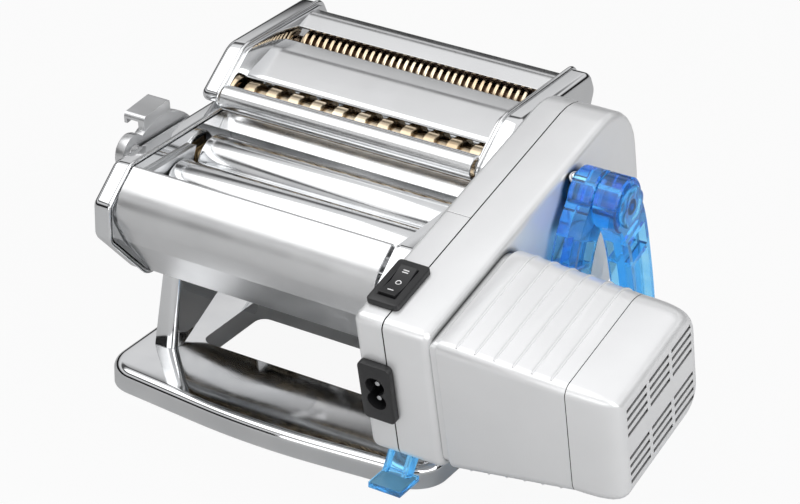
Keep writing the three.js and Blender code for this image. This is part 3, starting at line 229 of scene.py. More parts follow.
CHROME = metal("chrome", (0.80, 0.81, 0.82), (0.86, 0.865, 0.87), roughness=0.045, spread=0.06, waves=0.10)
STEEL = metal("plain_steel", (0.55, 0.56, 0.57), (0.66, 0.67, 0.68), roughness=0.285, spread=0.10, lines=0.3,
              stretch=(0.06, 1, 1))
ROLLER = metal("ground_steel", (0.70, 0.71, 0.72), (0.78, 0.785, 0.79), roughness=0.10, spread=0.07,
               lines=0.35, stretch=(1, 0.03, 0.03))
BRONZE = metal("bearing_bronze", (0.50, 0.34, 0.16), (0.62, 0.45, 0.24), roughness=0.32, spread=0.14)
# The dark brown is painted shade in the gaps between the cutting ridges
GOLDEN = metal("cutter_metal", (0.58, 0.45, 0.30), (0.82, 0.71, 0.54), roughness=0.16, spread=0.10, lines=0.3,
               stretch=(1, 0.05, 0.05), crevice_shade_colour=(0.13, 0.08, 0.05))
SATIN = metal("satin_silver", (0.76, 0.765, 0.77), (0.82, 0.825, 0.83), roughness=0.29, spread=0.07)
BRUSHED = metal("brushed_chrome", (0.84, 0.845, 0.85), (0.89, 0.895, 0.90), roughness=0.19, spread=0.06,
                lines=0.2, stretch=(0.05, 1, 1))
# The near-black is painted shade in the housing's seams, vents and other narrow gaps
SILVER = moulded("silver_plastic", (0.86, 0.865, 0.87), (0.90, 0.905, 0.91), roughness=0.28, grain=1400,
                 depth=0.12, metallic=0.5, coat=0.1, crevice_shade_colour=(0.01, 0.01, 0.01))
BLACK = moulded("black_plastic", (0.010, 0.010, 0.011), (0.02, 0.02, 0.021), roughness=0.32, grain=1800,
                depth=0.25)
NYLON = moulded("white_nylon", (0.74, 0.72, 0.66), (0.82, 0.80, 0.75), roughness=0.42, grain=1200, depth=0.15)
WHITE_PAINT = moulded("white_marking", (0.80, 0.80, 0.80), (0.86, 0.86, 0.86), roughness=0.40, grain=1200,
                      depth=0.1)
BLUE = clear_plastic("clear_blue_plastic", (0.30, 0.70, 1.0), (0.44, 0.80, 1.0), passing=(0, 0.70, 1),
                     density=90)

BY_SLOT = {
    "chrome": CHROME, "steel": STEEL, "roller_steel": ROLLER, "bronze": BRONZE, "cutter_metal": GOLDEN,
    "satin_silver": SATIN, "silver_plastic": SILVER, "white_plastic": NYLON, "black_plastic": BLACK,
    "blue_plastic": BLUE,
}


# Dressing
SHARP_ANGLE = math.radians(34)
NODE_EDGE = 0.35
NODE_WELD = 0.005


def dress(piece, material):
    piece.data.materials.clear()
    piece.data.materials.append(material)


def soften(shape, width):
    """A small bevel on the sharp edges, in millimetres."""
    bevel = shape.modifiers.new("edges", "BEVEL")
    bevel.width = width * MM
    bevel.segments = 2
    bevel.limit_method = "ANGLE"
    bevel.angle_limit = SHARP_ANGLE
    bevel.harden_normals = True


for part in frame["record"]["subparts"]:
    node = frame["nodes"][part["node"]]
    dress(node, BY_SLOT[part["material_slot"]])
    weld = node.modifiers.new("weld", "WELD")
    weld.merge_threshold = NODE_WELD * MM
    soften(node, NODE_EDGE)
    node.data.shade_smooth()


# Shapes
CORNER_STEPS = 8
EDGE_STEPS = 6
BAR_SIDES = 48
TURNED_SIDES = 96
BEAD_SIDES = 12


def rounded(corners, closed=True, steps=CORNER_STEPS):
    """The points of a path whose corners (a, b, radius) are rounded."""
    points = []
    for i, corner in enumerate(corners):
        a, b, radius = (*corner, 0)[:3]
        here = Vector((a, b))
        if radius == 0 or (not closed and i in (0, len(corners) - 1)):
            points.append(here)
            continue
        back = (Vector(corners[i - 1][:2]) - here).normalized()
        on = (Vector(corners[(i + 1) % len(corners)][:2]) - here).normalized()
        half = math.acos(max(-1, min(1, back.dot(on)))) / 2
        middle = here + (back + on).normalized() * radius / math.sin(half)
        start = here + back * radius / math.tan(half) - middle
        turn = (math.pi - 2 * half) * math.copysign(1, back.x * start.y - back.y * start.x)
        for k in range(steps + 1):
            angle = turn * k / steps
            points.append(middle + Vector((start.x * math.cos(angle) - start.y * math.sin(angle),
                                           start.x * math.sin(angle) + start.y * math.cos(angle))))
    return [tuple(point) for point in points]


def inset(corners, distance, least=0.15):
    """Corners of an anticlockwise outline moved inwards by a distance."""
    moved_in = []
    for i, corner in enumerate(corners):
        a, b, radius = (*corner, 0)[:3]
        here = Vector((a, b))
        arriving = (here - Vector(corners[i - 1][:2])).normalized()
        leaving = (Vector(corners[(i + 1) % len(corners)][:2]) - here).normalized()
        inward = Vector((-arriving.y - leaving.y, arriving.x + leaving.x))
        place = here + inward * 2 * distance / inward.length_squared
        moved_in.append((place.x, place.y, max(radius - distance, least)))
    return moved_in


def rectangle(half_a, half_b, radius):
    """The corners of a rounded rectangle about the middle."""
    return [(-half_a, -half_b, radius), (half_a, -half_b, radius), (half_a, half_b, radius),
            (-half_a, half_b, radius)]


def moved(outline, a, b):
    return [(x + a, y + b) for x, y in outline]


def round_turns(count):
    return [2 * math.pi * k / count for k in range(count)]


def sheet(path, thickness):
    """The outline of a sheet that follows an open path, on its left-hand side."""
    places = [Vector(point) for point in path]
    side = []
    for i, place in enumerate(places):
        before, after = places[max(i - 1, 0)], places[min(i + 1, len(places) - 1)]
        arriving = ((after if i == 0 else place) - before).normalized()
        leaving = arriving if i == len(places) - 1 else (after - place).normalized()
        left = Vector((-arriving.y - leaving.y, arriving.x + leaving.x))
        side.append(tuple(place + left * 2 * thickness / left.length_squared))
    return list(path) + side[::-1]


def solid(points, faces):
    mesh = bpy.data.meshes.new("solid")
    mesh.from_pydata([tuple(point) for point in points], [], faces)
    shape = bmesh.new()
    shape.from_mesh(mesh)
    bmesh.ops.recalc_face_normals(shape, faces=shape.faces)
    shape.to_mesh(mesh)
    shape.free()
    made = bpy.data.objects.new("solid", mesh)
    bpy.context.scene.collection.objects.link(made)
    return made


def loft(rings, closed=False):
    """A skin through rings of equal count, capped at both ends or closed on itself."""
    count = len(rings[0])
    points = [point for ring in rings for point in ring]
    last = len(rings) - 1
    faces = [] if closed else [tuple(range(count))[::-1], tuple(last * count + k for k in range(count))]
    for r in range(len(rings) if closed else last):
        a, b = r * count, (r + 1) % len(rings) * count
        faces += [(a + k, a + (k + 1) % count, b + (k + 1) % count, b + k) for k in range(count)]
    return solid(points, faces)


def at_x(outline, x):
    return [(x, a, b) for a, b in outline]


def at_y(outline, y):
    return [(a, y, b) for a, b in outline]


def at_z(outline, z):
    return [(a, b, z) for a, b in outline]


def prism(outline, low, high, at=at_x):
    return loft([at(outline, low), at(outline, high)])


def box(x0, x1, y0, y1, z0, z1):
    return prism([(y0, z0), (y1, z0), (y1, z1), (y0, z1)], x0, x1)


def turned(profile, y, z, sides=TURNED_SIDES):
    """A body turned about an axis along X, from (x, radius) pairs."""
    return loft([[(x, y + r * math.cos(t), z + r * math.sin(t)) for t in round_turns(sides)]
                 for x, r in profile])


def bar(radius, x0, x1, y, z):
    return turned([(x0, radius), (x1, radius)], y, z, BAR_SIDES)


def combined(body, others, operation):
    for other in others:
        step = body.modifiers.new("step", "BOOLEAN")
        step.operation = operation
        step.solver = "MANIFOLD"
        step.object = other
    graph = bpy.context.evaluated_depsgraph_get()
    body.data = bpy.data.meshes.new_from_object(body.evaluated_get(graph))
    body.modifiers.clear()
    for other in others:
        bpy.data.objects.remove(other)
    return body


def joined(body, *others):
    return combined(body, others, "UNION")


def without(body, *others):
    return combined(body, others, "DIFFERENCE")


def quarter(steps=EDGE_STEPS):
    """A quarter round, as (inwards, down) shares of its radius."""
    return [(1 - math.cos(t), 1 - math.sin(t)) for t in (math.pi / 2 * k / steps for k in range(steps + 1))]


def dish(corners, rim, face, edge, wall):
    """A pressed dish along X: an open rim, walls of even thickness and a face with a round edge."""
    out = math.copysign(1, face - rim)
    inner = rounded(inset(corners, wall))
    rings = [at_x(inner, face - out * wall), at_x(inner, rim), at_x(rounded(corners), rim)]
    rings += [at_x(rounded(inset(corners, edge * a)), face - out * edge * b) for a, b in quarter()]
    return loft(rings)


def hoop(corners, middle_x, outset, radius):
    """A round bead that follows an outline, which lies in one X plane."""
    return loft([at_x(rounded(inset(corners, radius * math.cos(t) - outset)), middle_x + radius * math.sin(t))
                 for t in round_turns(BEAD_SIDES)], closed=True)


# Places and sizes from here on are in millimetres from the middle of the base, and IN_PLACE moves them there
UNIT_TILT = math.radians(13.5)
UNIT_FRONT_Y = -127.6
UNIT_TOP_Z = 121.4
IN_PLACE = Matrix.Translation((0, BASE_MIDDLE_Y, 0)) @ Matrix.Scale(MM, 4)
IN_UNIT = IN_PLACE @ Matrix.Translation((0, UNIT_FRONT_Y, UNIT_TOP_Z)) @ Matrix.Rotation(UNIT_TILT, 4, "X")
OVERRUN = 4
SIDES = ((-1, "left"), (1, "right"))


def piece(name, shape, body, material, nodes=(), edge=0.25, place=IN_PLACE):
    """Names a shape, puts it in place, gives it its material and lets it ride on a body."""
    shape.name = name
    shape.data.transform(place)
    shape.data.name = name
    dress(shape, material)
    if edge:
        soften(shape, edge)
    shape.data.shade_smooth()
    shape.data.set_sharp_from_angle(angle=SHARP_ANGLE)
    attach(shape, body)
    if nodes:
        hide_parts(*nodes)


def unit_piece(name, shape, body, material, nodes=(), edge=0.25):
    """A piece of the motor unit, which leans and has a frame of its own."""
    piece(name, shape, body, material, nodes, edge, IN_UNIT)


# Base
BASE_HALF_X = 95.5
BASE_HALF_Y = 72
BASE_CORNER = 18
BASE_BOW_Y = 81.3
BASE_BOW_RADIUS = 380
BASE_TOP = 12
BASE_EDGE = 4.5
BASE_EDGE_STEPS = 8
BASE_STEPS = 14
BASE_WALL = 1.6
BASE_ROOF = 7
RIM_ROOT = 0.5
WINDOW = rectangle(66, 27.5, 6)


def base():
    """A pressed frame, bowed at front and rear, hollow below, with a rim round its window."""
    front = [(-BASE_HALF_X, -BASE_HALF_Y, BASE_CORNER), (0, -BASE_BOW_Y, BASE_BOW_RADIUS),
             (BASE_HALF_X, -BASE_HALF_Y, BASE_CORNER)]
    corners = front + [(-a, -b, radius) for a, b, radius in front]
    rings = [at_z(rounded(corners, steps=BASE_STEPS), 0)]
    rings += [at_z(rounded(inset(corners, BASE_EDGE * a), steps=BASE_STEPS), BASE_TOP - BASE_EDGE * b)
              for a, b in quarter(BASE_EDGE_STEPS)]
    hollow = prism(rounded(inset(corners, BASE_WALL)), -OVERRUN, BASE_ROOF, at_z)
    rim = prism(rounded(inset(WINDOW, -BASE_WALL)), -2 * OVERRUN, BASE_ROOF + RIM_ROOT, at_z)
    window = prism(rounded(WINDOW), -OVERRUN, BASE_TOP + OVERRUN, at_z)
    return without(loft(rings), without(hollow, rim), window)


# Stands, whose ends are given as height, half depth and reach of the flanges
STAND_ENDS = ((BASE_TOP, 43, 83.5), (63.7, 35, 81.3))
STAND_WEB_X = 72.1
STAND_BEND = 4.5
STAND_WALL = 1.4
ARCH_HALF = 33
ARCH_TOP = 29
ARCH_CORNER = 12
STAND_TAB_X = 73.5
STAND_TAB_HALF = 24
STAND_TAB_Z = (60, 75.7)
ARCH_REACH = 100


def stand(side):
    """A folded upright: a web with a flange along each edge, an arch at its foot and a tab on top."""
    rings = []
    for z, half, reach in STAND_ENDS:
        path = rounded([(reach, -half), (STAND_WEB_X, -half, STAND_BEND), (STAND_WEB_X, half, STAND_BEND),
                        (reach, half)], False)
        rings.append([(side * x, y, z) for x, y in sheet(path, -STAND_WALL)])
    arch = rounded([(-ARCH_HALF, BASE_TOP - OVERRUN), (ARCH_HALF, BASE_TOP - OVERRUN), (ARCH_HALF, BASE_TOP),
                    (0, ARCH_TOP, ARCH_CORNER), (-ARCH_HALF, BASE_TOP)])
    tab_x = sorted((side * STAND_WEB_X, side * STAND_TAB_X))
    tab = box(*tab_x, -STAND_TAB_HALF, STAND_TAB_HALF, *STAND_TAB_Z)
    return joined(without(loft(rings), prism(arch, -ARCH_REACH, ARCH_REACH)), tab)


piece("pressed_base", base(), "machine", CHROME, ["base_frame"], edge=0.8)
for side, word in SIDES:
    piece(word + "_upright", stand(side), "machine", CHROME, [word + "_stand"])

# Body, with its outline, axes and holes as (y, z)
BODY = [(-60, 64, 10), (60, 64, 10), (89, 94, 8), (89, 112, 6), (71, 127, 7), (-71, 127, 7), (-89, 112, 5),
        (-89, 94, 7)]
FRONT_ROLLER = (-38.731, 104.026)
REAR_ROLLER = (-10.5, 106)
DIAL = (-29, 100)
WIDE_AXIS = (20.5, 128)
NARROW_AXIS = (74.5, 137.3)
PEG_HOLES = ((-62, 100), (30, 90))
PLATE_INNER_X = STAND_TAB_X
PLATE_OUTER_X = 75.4
PLATE_INSET = 0.9
PLATE_BEAD_X = 74.6
PLATE_BEAD_OUTSET = 0.5
PLATE_BEAD = 1.0
COVER_RIM_X = 75.5
COVER_FACE_X = 85
COVER_EDGE = 3
COVER_WALL = 1.4
DRIVE_HOLE = 6.3
DIAL_HOLE = 3.8
PEG_HOLE = 4.3
ROLLER_HOLE = 5.3
BLOCK_HALF = 9.3
BLOCK_TRAVEL = 2.4
CUT_INNER_X = 70
CUT_OUTER_X = 90


def cut_reach(side):
    return sorted((side * CUT_INNER_X, side * CUT_OUTER_X))


def hole(side, radius, axis):
    """A round cut through the plates of one side."""
    return bar(radius, *cut_reach(side), *axis)


def side_cover(side):
    shell = dish(BODY, side * COVER_RIM_X, side * COVER_FACE_X, COVER_EDGE, COVER_WALL)
    if side < 0:
        return without(shell, hole(side, DIAL_HOLE, DIAL))
    drives = [hole(side, DRIVE_HOLE, axis) for axis in (WIDE_AXIS, FRONT_ROLLER)]
    return without(shell, *drives, *[hole(side, PEG_HOLE, place) for place in PEG_HOLES])


def frame_plate(side):
    """The frame plate; the left one's lip is turned over the cover sheets as a thin bead."""
    plate = prism(rounded(inset(BODY, PLATE_INSET)), *sorted((side * PLATE_INNER_X, side * PLATE_OUTER_X)))
    y, z = REAR_ROLLER
    slot = box(*cut_reach(side), y - BLOCK_HALF, y + BLOCK_HALF + BLOCK_TRAVEL,
               z - BLOCK_HALF, z + BLOCK_HALF)
    own = hole(side, DRIVE_HOLE, WIDE_AXIS) if side > 0 else hole(side, DIAL_HOLE, DIAL)
    cut = without(plate, slot, hole(side, ROLLER_HOLE, FRONT_ROLLER), own)
    if side > 0:
        return cut
    return joined(cut, hoop(BODY, side * PLATE_BEAD_X, PLATE_BEAD_OUTSET, PLATE_BEAD))


for side, word in SIDES:
    piece(word + "_shell", side_cover(side), "machine", CHROME, [word + "_side_cover"])
    piece(word + "_plate", frame_plate(side), "machine", CHROME, [word + "_frame"])

# Sheets across the body
SHEET_EDGE = 0.2
FRONT_SHEET = [(-67.5, 123), (-71, 128.5, 2.2), (-91.5, 113, 16), (-78.5, 89.5, 2), (-60, 65.6)]
FRONT_SHEET_WALL = 1.2
FRONT_SHEET_HALF = 72.3
HOPPER_SHEET = [(14, 106), (9.2, 126.2, 1.5), (1.6, 118.2)]
HOPPER_WALL = 1
HOPPER_HALF = 73.4


def cross_sheet(path, wall, half):
    return prism(sheet(rounded(path, False), wall), -half, half)


piece("front_sheet", cross_sheet(FRONT_SHEET, FRONT_SHEET_WALL, FRONT_SHEET_HALF), "machine", SATIN,
      ["front_cover"], edge=SHEET_EDGE)
piece("hopper_sheet", cross_sheet(HOPPER_SHEET, HOPPER_WALL, HOPPER_HALF), "machine", BRUSHED,
      ["hopper_plate"], edge=SHEET_EDGE)

# Smooth rollers, whose right end is given as (x, radius) pairs
ROLLER_END = [(68.4, 14), (68.9, 13.85), (69.8, 13.1), (70, 12.6), (70.2, 5)]
ROLLER_JOURNAL = 5
FRONT_ROLLER_LEFT_X = 76
REAR_ROLLER_LEFT_X = 80.3
SHAFT_END_X = 82.5


def smooth_roller(axis, left_x):
    left_end = [(-x, radius) for x, radius in reversed(ROLLER_END)]
    return turned([(-left_x, ROLLER_JOURNAL), *left_end, *ROLLER_END, (SHAFT_END_X, ROLLER_JOURNAL)], *axis)


piece("front_sheeting_roller", smooth_roller(FRONT_ROLLER, FRONT_ROLLER_LEFT_X), "front_roller", ROLLER,
      ["front_roller"])
piece("rear_sheeting_roller", smooth_roller(REAR_ROLLER, REAR_ROLLER_LEFT_X), "rear_roller", ROLLER,
      ["rear_roller"])

# Selector dial: a disc, a lobe with a finger hole and a hooked tab on the rim
DIAL_PROFILE = [(-86.3, 33.6), (-86.7, 34), (-90.3, 34), (-91.2, 33.6), (-91.8, 32.6), (-91.8, 24),
                (-91.2, 22)]
LOBE = (-52, 122.5)
LOBE_PROFILE = [(-86.3, 9.5), (-90.6, 9.5), (-91.4, 9.2), (-91.8, 8.4)]
LOBE_SIDES = 64
LOBE_HOLE = 4.5
LOBE_CUT_X = (-100, -80)
TAB_TURN = math.radians(96)
TAB_NEAR = 29
TAB_FAR = 39.5
TAB_SPAN = 11
TAB_CORNER = 2.5
TAB_X = (-98.3, -86.4)
HOOK_NEAR = 20
HOOK_SPAN = 20
HOOK_ROOM_FAR = 36.6
HOOK_ROOM_X = (-96.6, -90)
HOOK_MOUTH_FAR = 34
HOOK_MOUTH_X = (-110, -95)


def tab_block(near, far, span, reach_x, corner=0):
    """A block between two distances from the dial's axis, turned to the tab's place."""
    outline = rounded([(near, -span, corner), (far, -span, corner), (far, span, corner),
                       (near, span, corner)])
    across, along = math.cos(TAB_TURN), math.sin(TAB_TURN)
    y, z = DIAL
    return prism([(y + a * across - b * along, z + a * along + b * across) for a, b in outline], *reach_x)


def dial():
    grip = tab_block(TAB_NEAR, TAB_FAR, TAB_SPAN, TAB_X, TAB_CORNER)
    room = tab_block(HOOK_NEAR, HOOK_ROOM_FAR, HOOK_SPAN, HOOK_ROOM_X)
    mouth = tab_block(HOOK_NEAR, HOOK_MOUTH_FAR, HOOK_SPAN, HOOK_MOUTH_X)
    disc = turned(DIAL_PROFILE, *DIAL)
    lobe = turned(LOBE_PROFILE, *LOBE, LOBE_SIDES)
    return without(joined(disc, lobe, without(grip, room, mouth)), bar(LOBE_HOLE, *LOBE_CUT_X, *LOBE))


piece("gap_dial", dial(), "selector", SATIN, ["selector_dial"], edge=0.5)

# Cutter: its side plates and covers
CUTTER = [(11, 127, 4), (96, 127, 4), (102, 142, 8), (96, 153.6, 8), (25.8, 153.6, 14), (-1.6, 133.1, 4)]
CUTTER_RIM_X = 73.3
CUTTER_FACE_X = 85
CUTTER_EDGE = 3.4
CUTTER_WALL = 2
CUTTER_BEAD_X = 74.4
CUTTER_BEAD_OUTSET = 0.25
CUTTER_BEAD = 1.1
TUBE = (5.5, 134)
TUBE_RADIUS = 6.3
TUBE_START = 20
TUBE_SWEEP = 215
TUBE_STEPS = 40
COVER_SHEET_WALL = 1.2
COVER_SHEET_HALF = 71.6
COVER_SHEETS = {
    "middle": [(63.5, 142.5), (60.5, 146, 4), (47, 146.2, 20), (24.6, 140.0, 4), (23.8, 138.3)],
    "rear": [(96.6, 138), (92.5, 151.2, 7), (82, 152.4, 12), (71.3, 148.9)],
}


def cutter_plate(side):
    shell = dish(CUTTER, side * CUTTER_RIM_X, side * CUTTER_FACE_X, CUTTER_EDGE, CUTTER_WALL)
    beaded = joined(shell, hoop(CUTTER, side * CUTTER_BEAD_X, CUTTER_BEAD_OUTSET, CUTTER_BEAD))
    if side < 0:
        return beaded
    return without(beaded, *[hole(side, DRIVE_HOLE, axis) for axis in (WIDE_AXIS, NARROW_AXIS)])


def front_tube():
    y, z = TUBE
    turns = [math.radians(TUBE_START + TUBE_SWEEP * k / TUBE_STEPS) for k in range(TUBE_STEPS + 1)]
    path = [(y + TUBE_RADIUS * math.cos(t), z + TUBE_RADIUS * math.sin(t)) for t in turns]
    return prism(sheet(path, COVER_SHEET_WALL), -COVER_SHEET_HALF, COVER_SHEET_HALF)


for side, word in SIDES:
    piece(word + "_cutter_shell", cutter_plate(side), "cutter", CHROME, [f"cutter_{word}_plate"])
piece("front_rolled_tube", front_tube(), "cutter", BRUSHED, ["cutter_front_arch"], edge=SHEET_EDGE)
for word, path in COVER_SHEETS.items():
    piece(word + "_cutter_cover", cross_sheet(path, COVER_SHEET_WALL, COVER_SHEET_HALF), "cutter", BRUSHED,
          [f"cutter_{word}_arch"], edge=SHEET_EDGE)

# Cutting rollers: pairs as (driven roller's axis, pitch, direction of its second roller in degrees)
CUTTER_PAIRS = {"wide": (WIDE_AXIS, 13, -24.3), "narrow": (NARROW_AXIS, 4, 206.6)}
PAIR_SPACING = 17
CORE_HALF = 68.8
CORE_RADIUS = 7
RIDGE_RADIUS = 9.5
RIDGE_PLAY = 0.5
RIDGE_EASE = 0.35
CUTTER_JOURNAL = 4
CORE_STEP = 0.1
THIN_STEP = 0.01


def cutting_roller(axis, pitch, fewer, right_x):
    """A core with ridges, whose rims are eased so that they catch the light."""
    ridge = (pitch - RIDGE_PLAY) / 2
    count = int((2 * CORE_HALF - ridge) // pitch) + 1 - fewer
    shoulder = CORE_HALF + CORE_STEP
    eased = RIDGE_RADIUS - RIDGE_EASE
    profile = [(-CUTTER_RIM_X, CUTTER_JOURNAL), (-shoulder, CUTTER_JOURNAL), (-CORE_HALF, CORE_RADIUS)]
    for k in range(count):
        middle = (k - (count - 1) / 2) * pitch
        low, high = middle - ridge / 2, middle + ridge / 2
        profile += [(low - THIN_STEP, CORE_RADIUS), (low, eased), (low + RIDGE_EASE, RIDGE_RADIUS),
                    (high - RIDGE_EASE, RIDGE_RADIUS), (high, eased), (high + THIN_STEP, CORE_RADIUS)]
    profile += [(CORE_HALF, CORE_RADIUS), (shoulder, CUTTER_JOURNAL), (right_x, CUTTER_JOURNAL)]
    return turned(profile, *axis, BAR_SIDES)


def beside(axis, degrees):
    turn = math.radians(degrees)
    return axis[0] + PAIR_SPACING * math.cos(turn), axis[1] + PAIR_SPACING * math.sin(turn)


for word, (axis, pitch, degrees) in CUTTER_PAIRS.items():
    driven = cutting_roller(axis, pitch, 0, SHAFT_END_X)
    piece(word + "_front_cutting_roller", driven, word + "_driven", GOLDEN, [word + "_driven_roller"], edge=0)
    second = cutting_roller(beside(axis, degrees), pitch, 1, CUTTER_RIM_X)
    piece(word + "_rear_cutting_roller", second, word + "_second", GOLDEN, [word + "_second_roller"], edge=0)

# Motor unit's housing, level in its own frame: x to the right, y back along its top, z up from it;
# a room, body or well is given as two half sizes and the ends of its depth
UNIT = [(0, -82, 8), (197, -100.3, 46), (197, 0, 32), (0, 0, 4.5)]
UNIT_INNER_X = 86
UNIT_OUTER_X = 124
UNIT_WALL = 1.8
UNIT_INNER_EDGE = 3.2
UNIT_OUTER_EDGE = 4.2
UNIT_SOFT_EDGE = 0.3
SEAM_X = 101
SEAM_GAP = 0.35
SWITCH = (95.6, 24.5)
SWITCH_ROOM = (6.5, 12.8, -12, OVERRUN)
INLET = (95.3, -41)
INLET_ROOM = (6.8, 13.3, -OVERRUN, 16)


def switch_block(half_x, half_y, low, high):
    x, y = SWITCH
    return box(x - half_x, x + half_x, y - half_y, y + half_y, low, high)


def inlet_block(half_x, half_z, near, far):
    x, z = INLET
    return box(x - half_x, x + half_x, near, far, z - half_z, z + half_z)


def unit_openings():
    """Room for the switch and the inlet."""
    return [switch_block(*SWITCH_ROOM), inlet_block(*INLET_ROOM)]


def inner_shell(other_part):
    shell = dish(UNIT, SEAM_X - SEAM_GAP, UNIT_INNER_X, UNIT_INNER_EDGE, UNIT_WALL)
    return without(shell, *unit_openings(), other_part)


# Barrel: its rear, top and foot as (at the gearbox, at the end cap), and rings round it as (x, inwards)
BARREL_X = 127.5
BARREL_LENGTH = 64
BARREL_ENDS = ((82, 79), (-3.2, -4.8), (-80.4, -68.6))
BARREL_FRONT_CORNERS = (8, 5)
BARREL_REAR_CORNER = 17
BARREL_START = ((127.5, 1.2), (127.8, 0.35), (128.6, 0))
BARREL_LAST_X = 191.2
NECK_X = (121.5, 129.5)
NECK_INSET = 2.2
ROOM_ENDS = ((125.5, 4), (195, UNIT_WALL))
RIB_PROFILE = ((-0.7, 0.05), (-0.45, -0.5), (0, -0.65), (0.45, -0.5), (0.7, 0.05))
RIB_COUNT = 6
RIB_FIRST_X = 137
RIB_PITCH = 9.3
RIB_CUT_HALF_X = 3
RIB_CUT_Y = (-6, 3)
RIB_CUT_Z = (-110, 6)
BOSS = (128, -64)
BOSS_PROFILE = [(121, 27), (125.6, 27), (126.2, 26.7), (126.4, 26.1)]


def barrel_outline(share, inwards):
    """The barrel's outline, from the gearbox (share 0) to the end cap (share 1)."""
    rear, top, foot = (first + (last - first) * share for first, last in BARREL_ENDS)
    low_corner, high_corner = BARREL_FRONT_CORNERS
    corners = [(0, foot, low_corner), (rear, foot, BARREL_REAR_CORNER), (rear, top, BARREL_REAR_CORNER),
               (0, top, high_corner)]
    return rounded(inset(corners, inwards))


def barrel_ring(x, inwards):
    share = max(0, min(1, (x - BARREL_X) / BARREL_LENGTH))
    return at_x(barrel_outline(share, inwards), x)


def barrel_loft(ends):
    return loft([barrel_ring(x, inwards) for x, inwards in ends])


def rib(x):
    """A low rib round the barrel, which leaves its flat front plain."""
    front = box(x - RIB_CUT_HALF_X, x + RIB_CUT_HALF_X, *RIB_CUT_Y, *RIB_CUT_Z)
    return without(barrel_loft([(x + along, inwards) for along, inwards in RIB_PROFILE]), front)


def outer_shell():
    shell = dish(UNIT, SEAM_X + SEAM_GAP, UNIT_OUTER_X, UNIT_OUTER_EDGE, UNIT_WALL)
    neck = prism(barrel_outline(0, NECK_INSET), *NECK_X)
    barrel = barrel_loft([*BARREL_START, (BARREL_LAST_X, 0)])
    ribs = [rib(RIB_FIRST_X + RIB_PITCH * k) for k in range(RIB_COUNT)]
    whole = joined(shell, neck, barrel, turned(BOSS_PROFILE, *BOSS), *ribs)
    return without(whole, barrel_loft(ROOM_ENDS), *unit_openings())


# End cap: profile and room as (distance from its start, inwards), vents in rows and columns
CAP_X = BARREL_X + BARREL_LENGTH
CAP_PROFILE = [(0.1, 0), (5, 0.05), (11, 0.3), (15, 0.8), (18, 1.4), (20.5, 2.4), (22.3, 3.6), (23.5, 5.0),
               (24.2, 6.4), (24.5, 7.9)]
CAP_ROOM = ((-4, UNIT_WALL), (16, 3.2), (22, 7.2))
VENT_X = (208, 220)
VENT_ROWS = (0, 1, 2, 3, 6, 7, 8, 9)
VENT_COLUMNS = 3
VENT_FIRST_Y = 9
VENT_LENGTH = 18.5
VENT_STEP_Y = 21.1
VENT_FIRST_DROP = 15.8
VENT_STEP_DROP = 4.6
VENT_HALF = 1.0


def end_cap():
    vents = []
    for row in VENT_ROWS:
        z = -(VENT_FIRST_DROP + VENT_STEP_DROP * row)
        for column in range(VENT_COLUMNS):
            y = VENT_FIRST_Y + VENT_STEP_Y * column
            vents.append(box(*VENT_X, y, y + VENT_LENGTH, z - VENT_HALF, z + VENT_HALF))
    cap = barrel_loft([(CAP_X + rise, inwards) for rise, inwards in CAP_PROFILE])
    room = barrel_loft([(CAP_X + rise, inwards) for rise, inwards in CAP_ROOM])
    return without(cap, room, *vents)


# The inner shell is cut in two across its top, so each of its pieces is the shell without the other's part
PART_X = (80, 110)
PART_Z = (-150, 10)
FRONT_PART_Y = (-10, 79.8)
REAR_PART_Y = (79.5, 205)
unit_piece("switch_panel", inner_shell(box(*PART_X, *REAR_PART_Y, *PART_Z)), "motor_unit", SILVER,
           ["unit_front_panel"], edge=UNIT_SOFT_EDGE)
unit_piece("rear_housing_panel", inner_shell(box(*PART_X, *FRONT_PART_Y, *PART_Z)), "motor_unit", SILVER,
           ["unit_rear_panel"], edge=UNIT_SOFT_EDGE)
unit_piece("gearbox_housing", outer_shell(), "motor_unit", SILVER, ["unit_outer_shell"], edge=UNIT_SOFT_EDGE)
unit_piece("vented_cap", end_cap(), "motor_unit", SILVER, ["unit_end_cap"], edge=UNIT_SOFT_EDGE)

# Switch: its frame, rocker and marks
SWITCH_PLATE = rectangle(8.25, 15, 2)
SWITCH_EASE = ((0, 0.05), (0, 2.2), (0.25, 2.75), (0.8, 3))
SWITCH_BODY = (6.2, 12.4, -11.9, 1)
SWITCH_WELL = (4.6, 10.5, -8, 9)
ROCKER_HALF_X = 4.3
ROCKER_HALF_Y = 10
ROCKER_FLAT_Y = 3
ROCKER_FOOT_Z = -3.5
ROCKER_END_Z = 0.5
ROCKER_TIP_Z = 4.4
ROCKER_DIP_Z = 2.5
MARK_LINES = (-6.6, 6.1, 7.3)
MARK_HALF_X = 1.5
MARK_HALF_Y = 0.28
MARK_RING = (1.0, 1.45)
MARK_RING_SIDES = 32
MARK_RISE = 0.07
MARK_RING_ROOT = 0.2
MARK_LINE_ROOT = 0.3


def switch_frame():
    plate = loft([at_z(moved(rounded(inset(SWITCH_PLATE, d)), *SWITCH), z) for d, z in SWITCH_EASE])
    return without(joined(plate, switch_block(*SWITCH_BODY)), switch_block(*SWITCH_WELL))


def rocker():
    outline = [(-ROCKER_HALF_Y, ROCKER_END_Z), (-ROCKER_FLAT_Y, ROCKER_FOOT_Z),
               (ROCKER_FLAT_Y, ROCKER_FOOT_Z), (ROCKER_HALF_Y, ROCKER_END_Z), (ROCKER_HALF_Y, ROCKER_TIP_Z),
               (0, ROCKER_DIP_Z), (-ROCKER_HALF_Y, ROCKER_TIP_Z)]
    x, y = SWITCH
    return prism(moved(outline, y, 0), x - ROCKER_HALF_X, x + ROCKER_HALF_X)


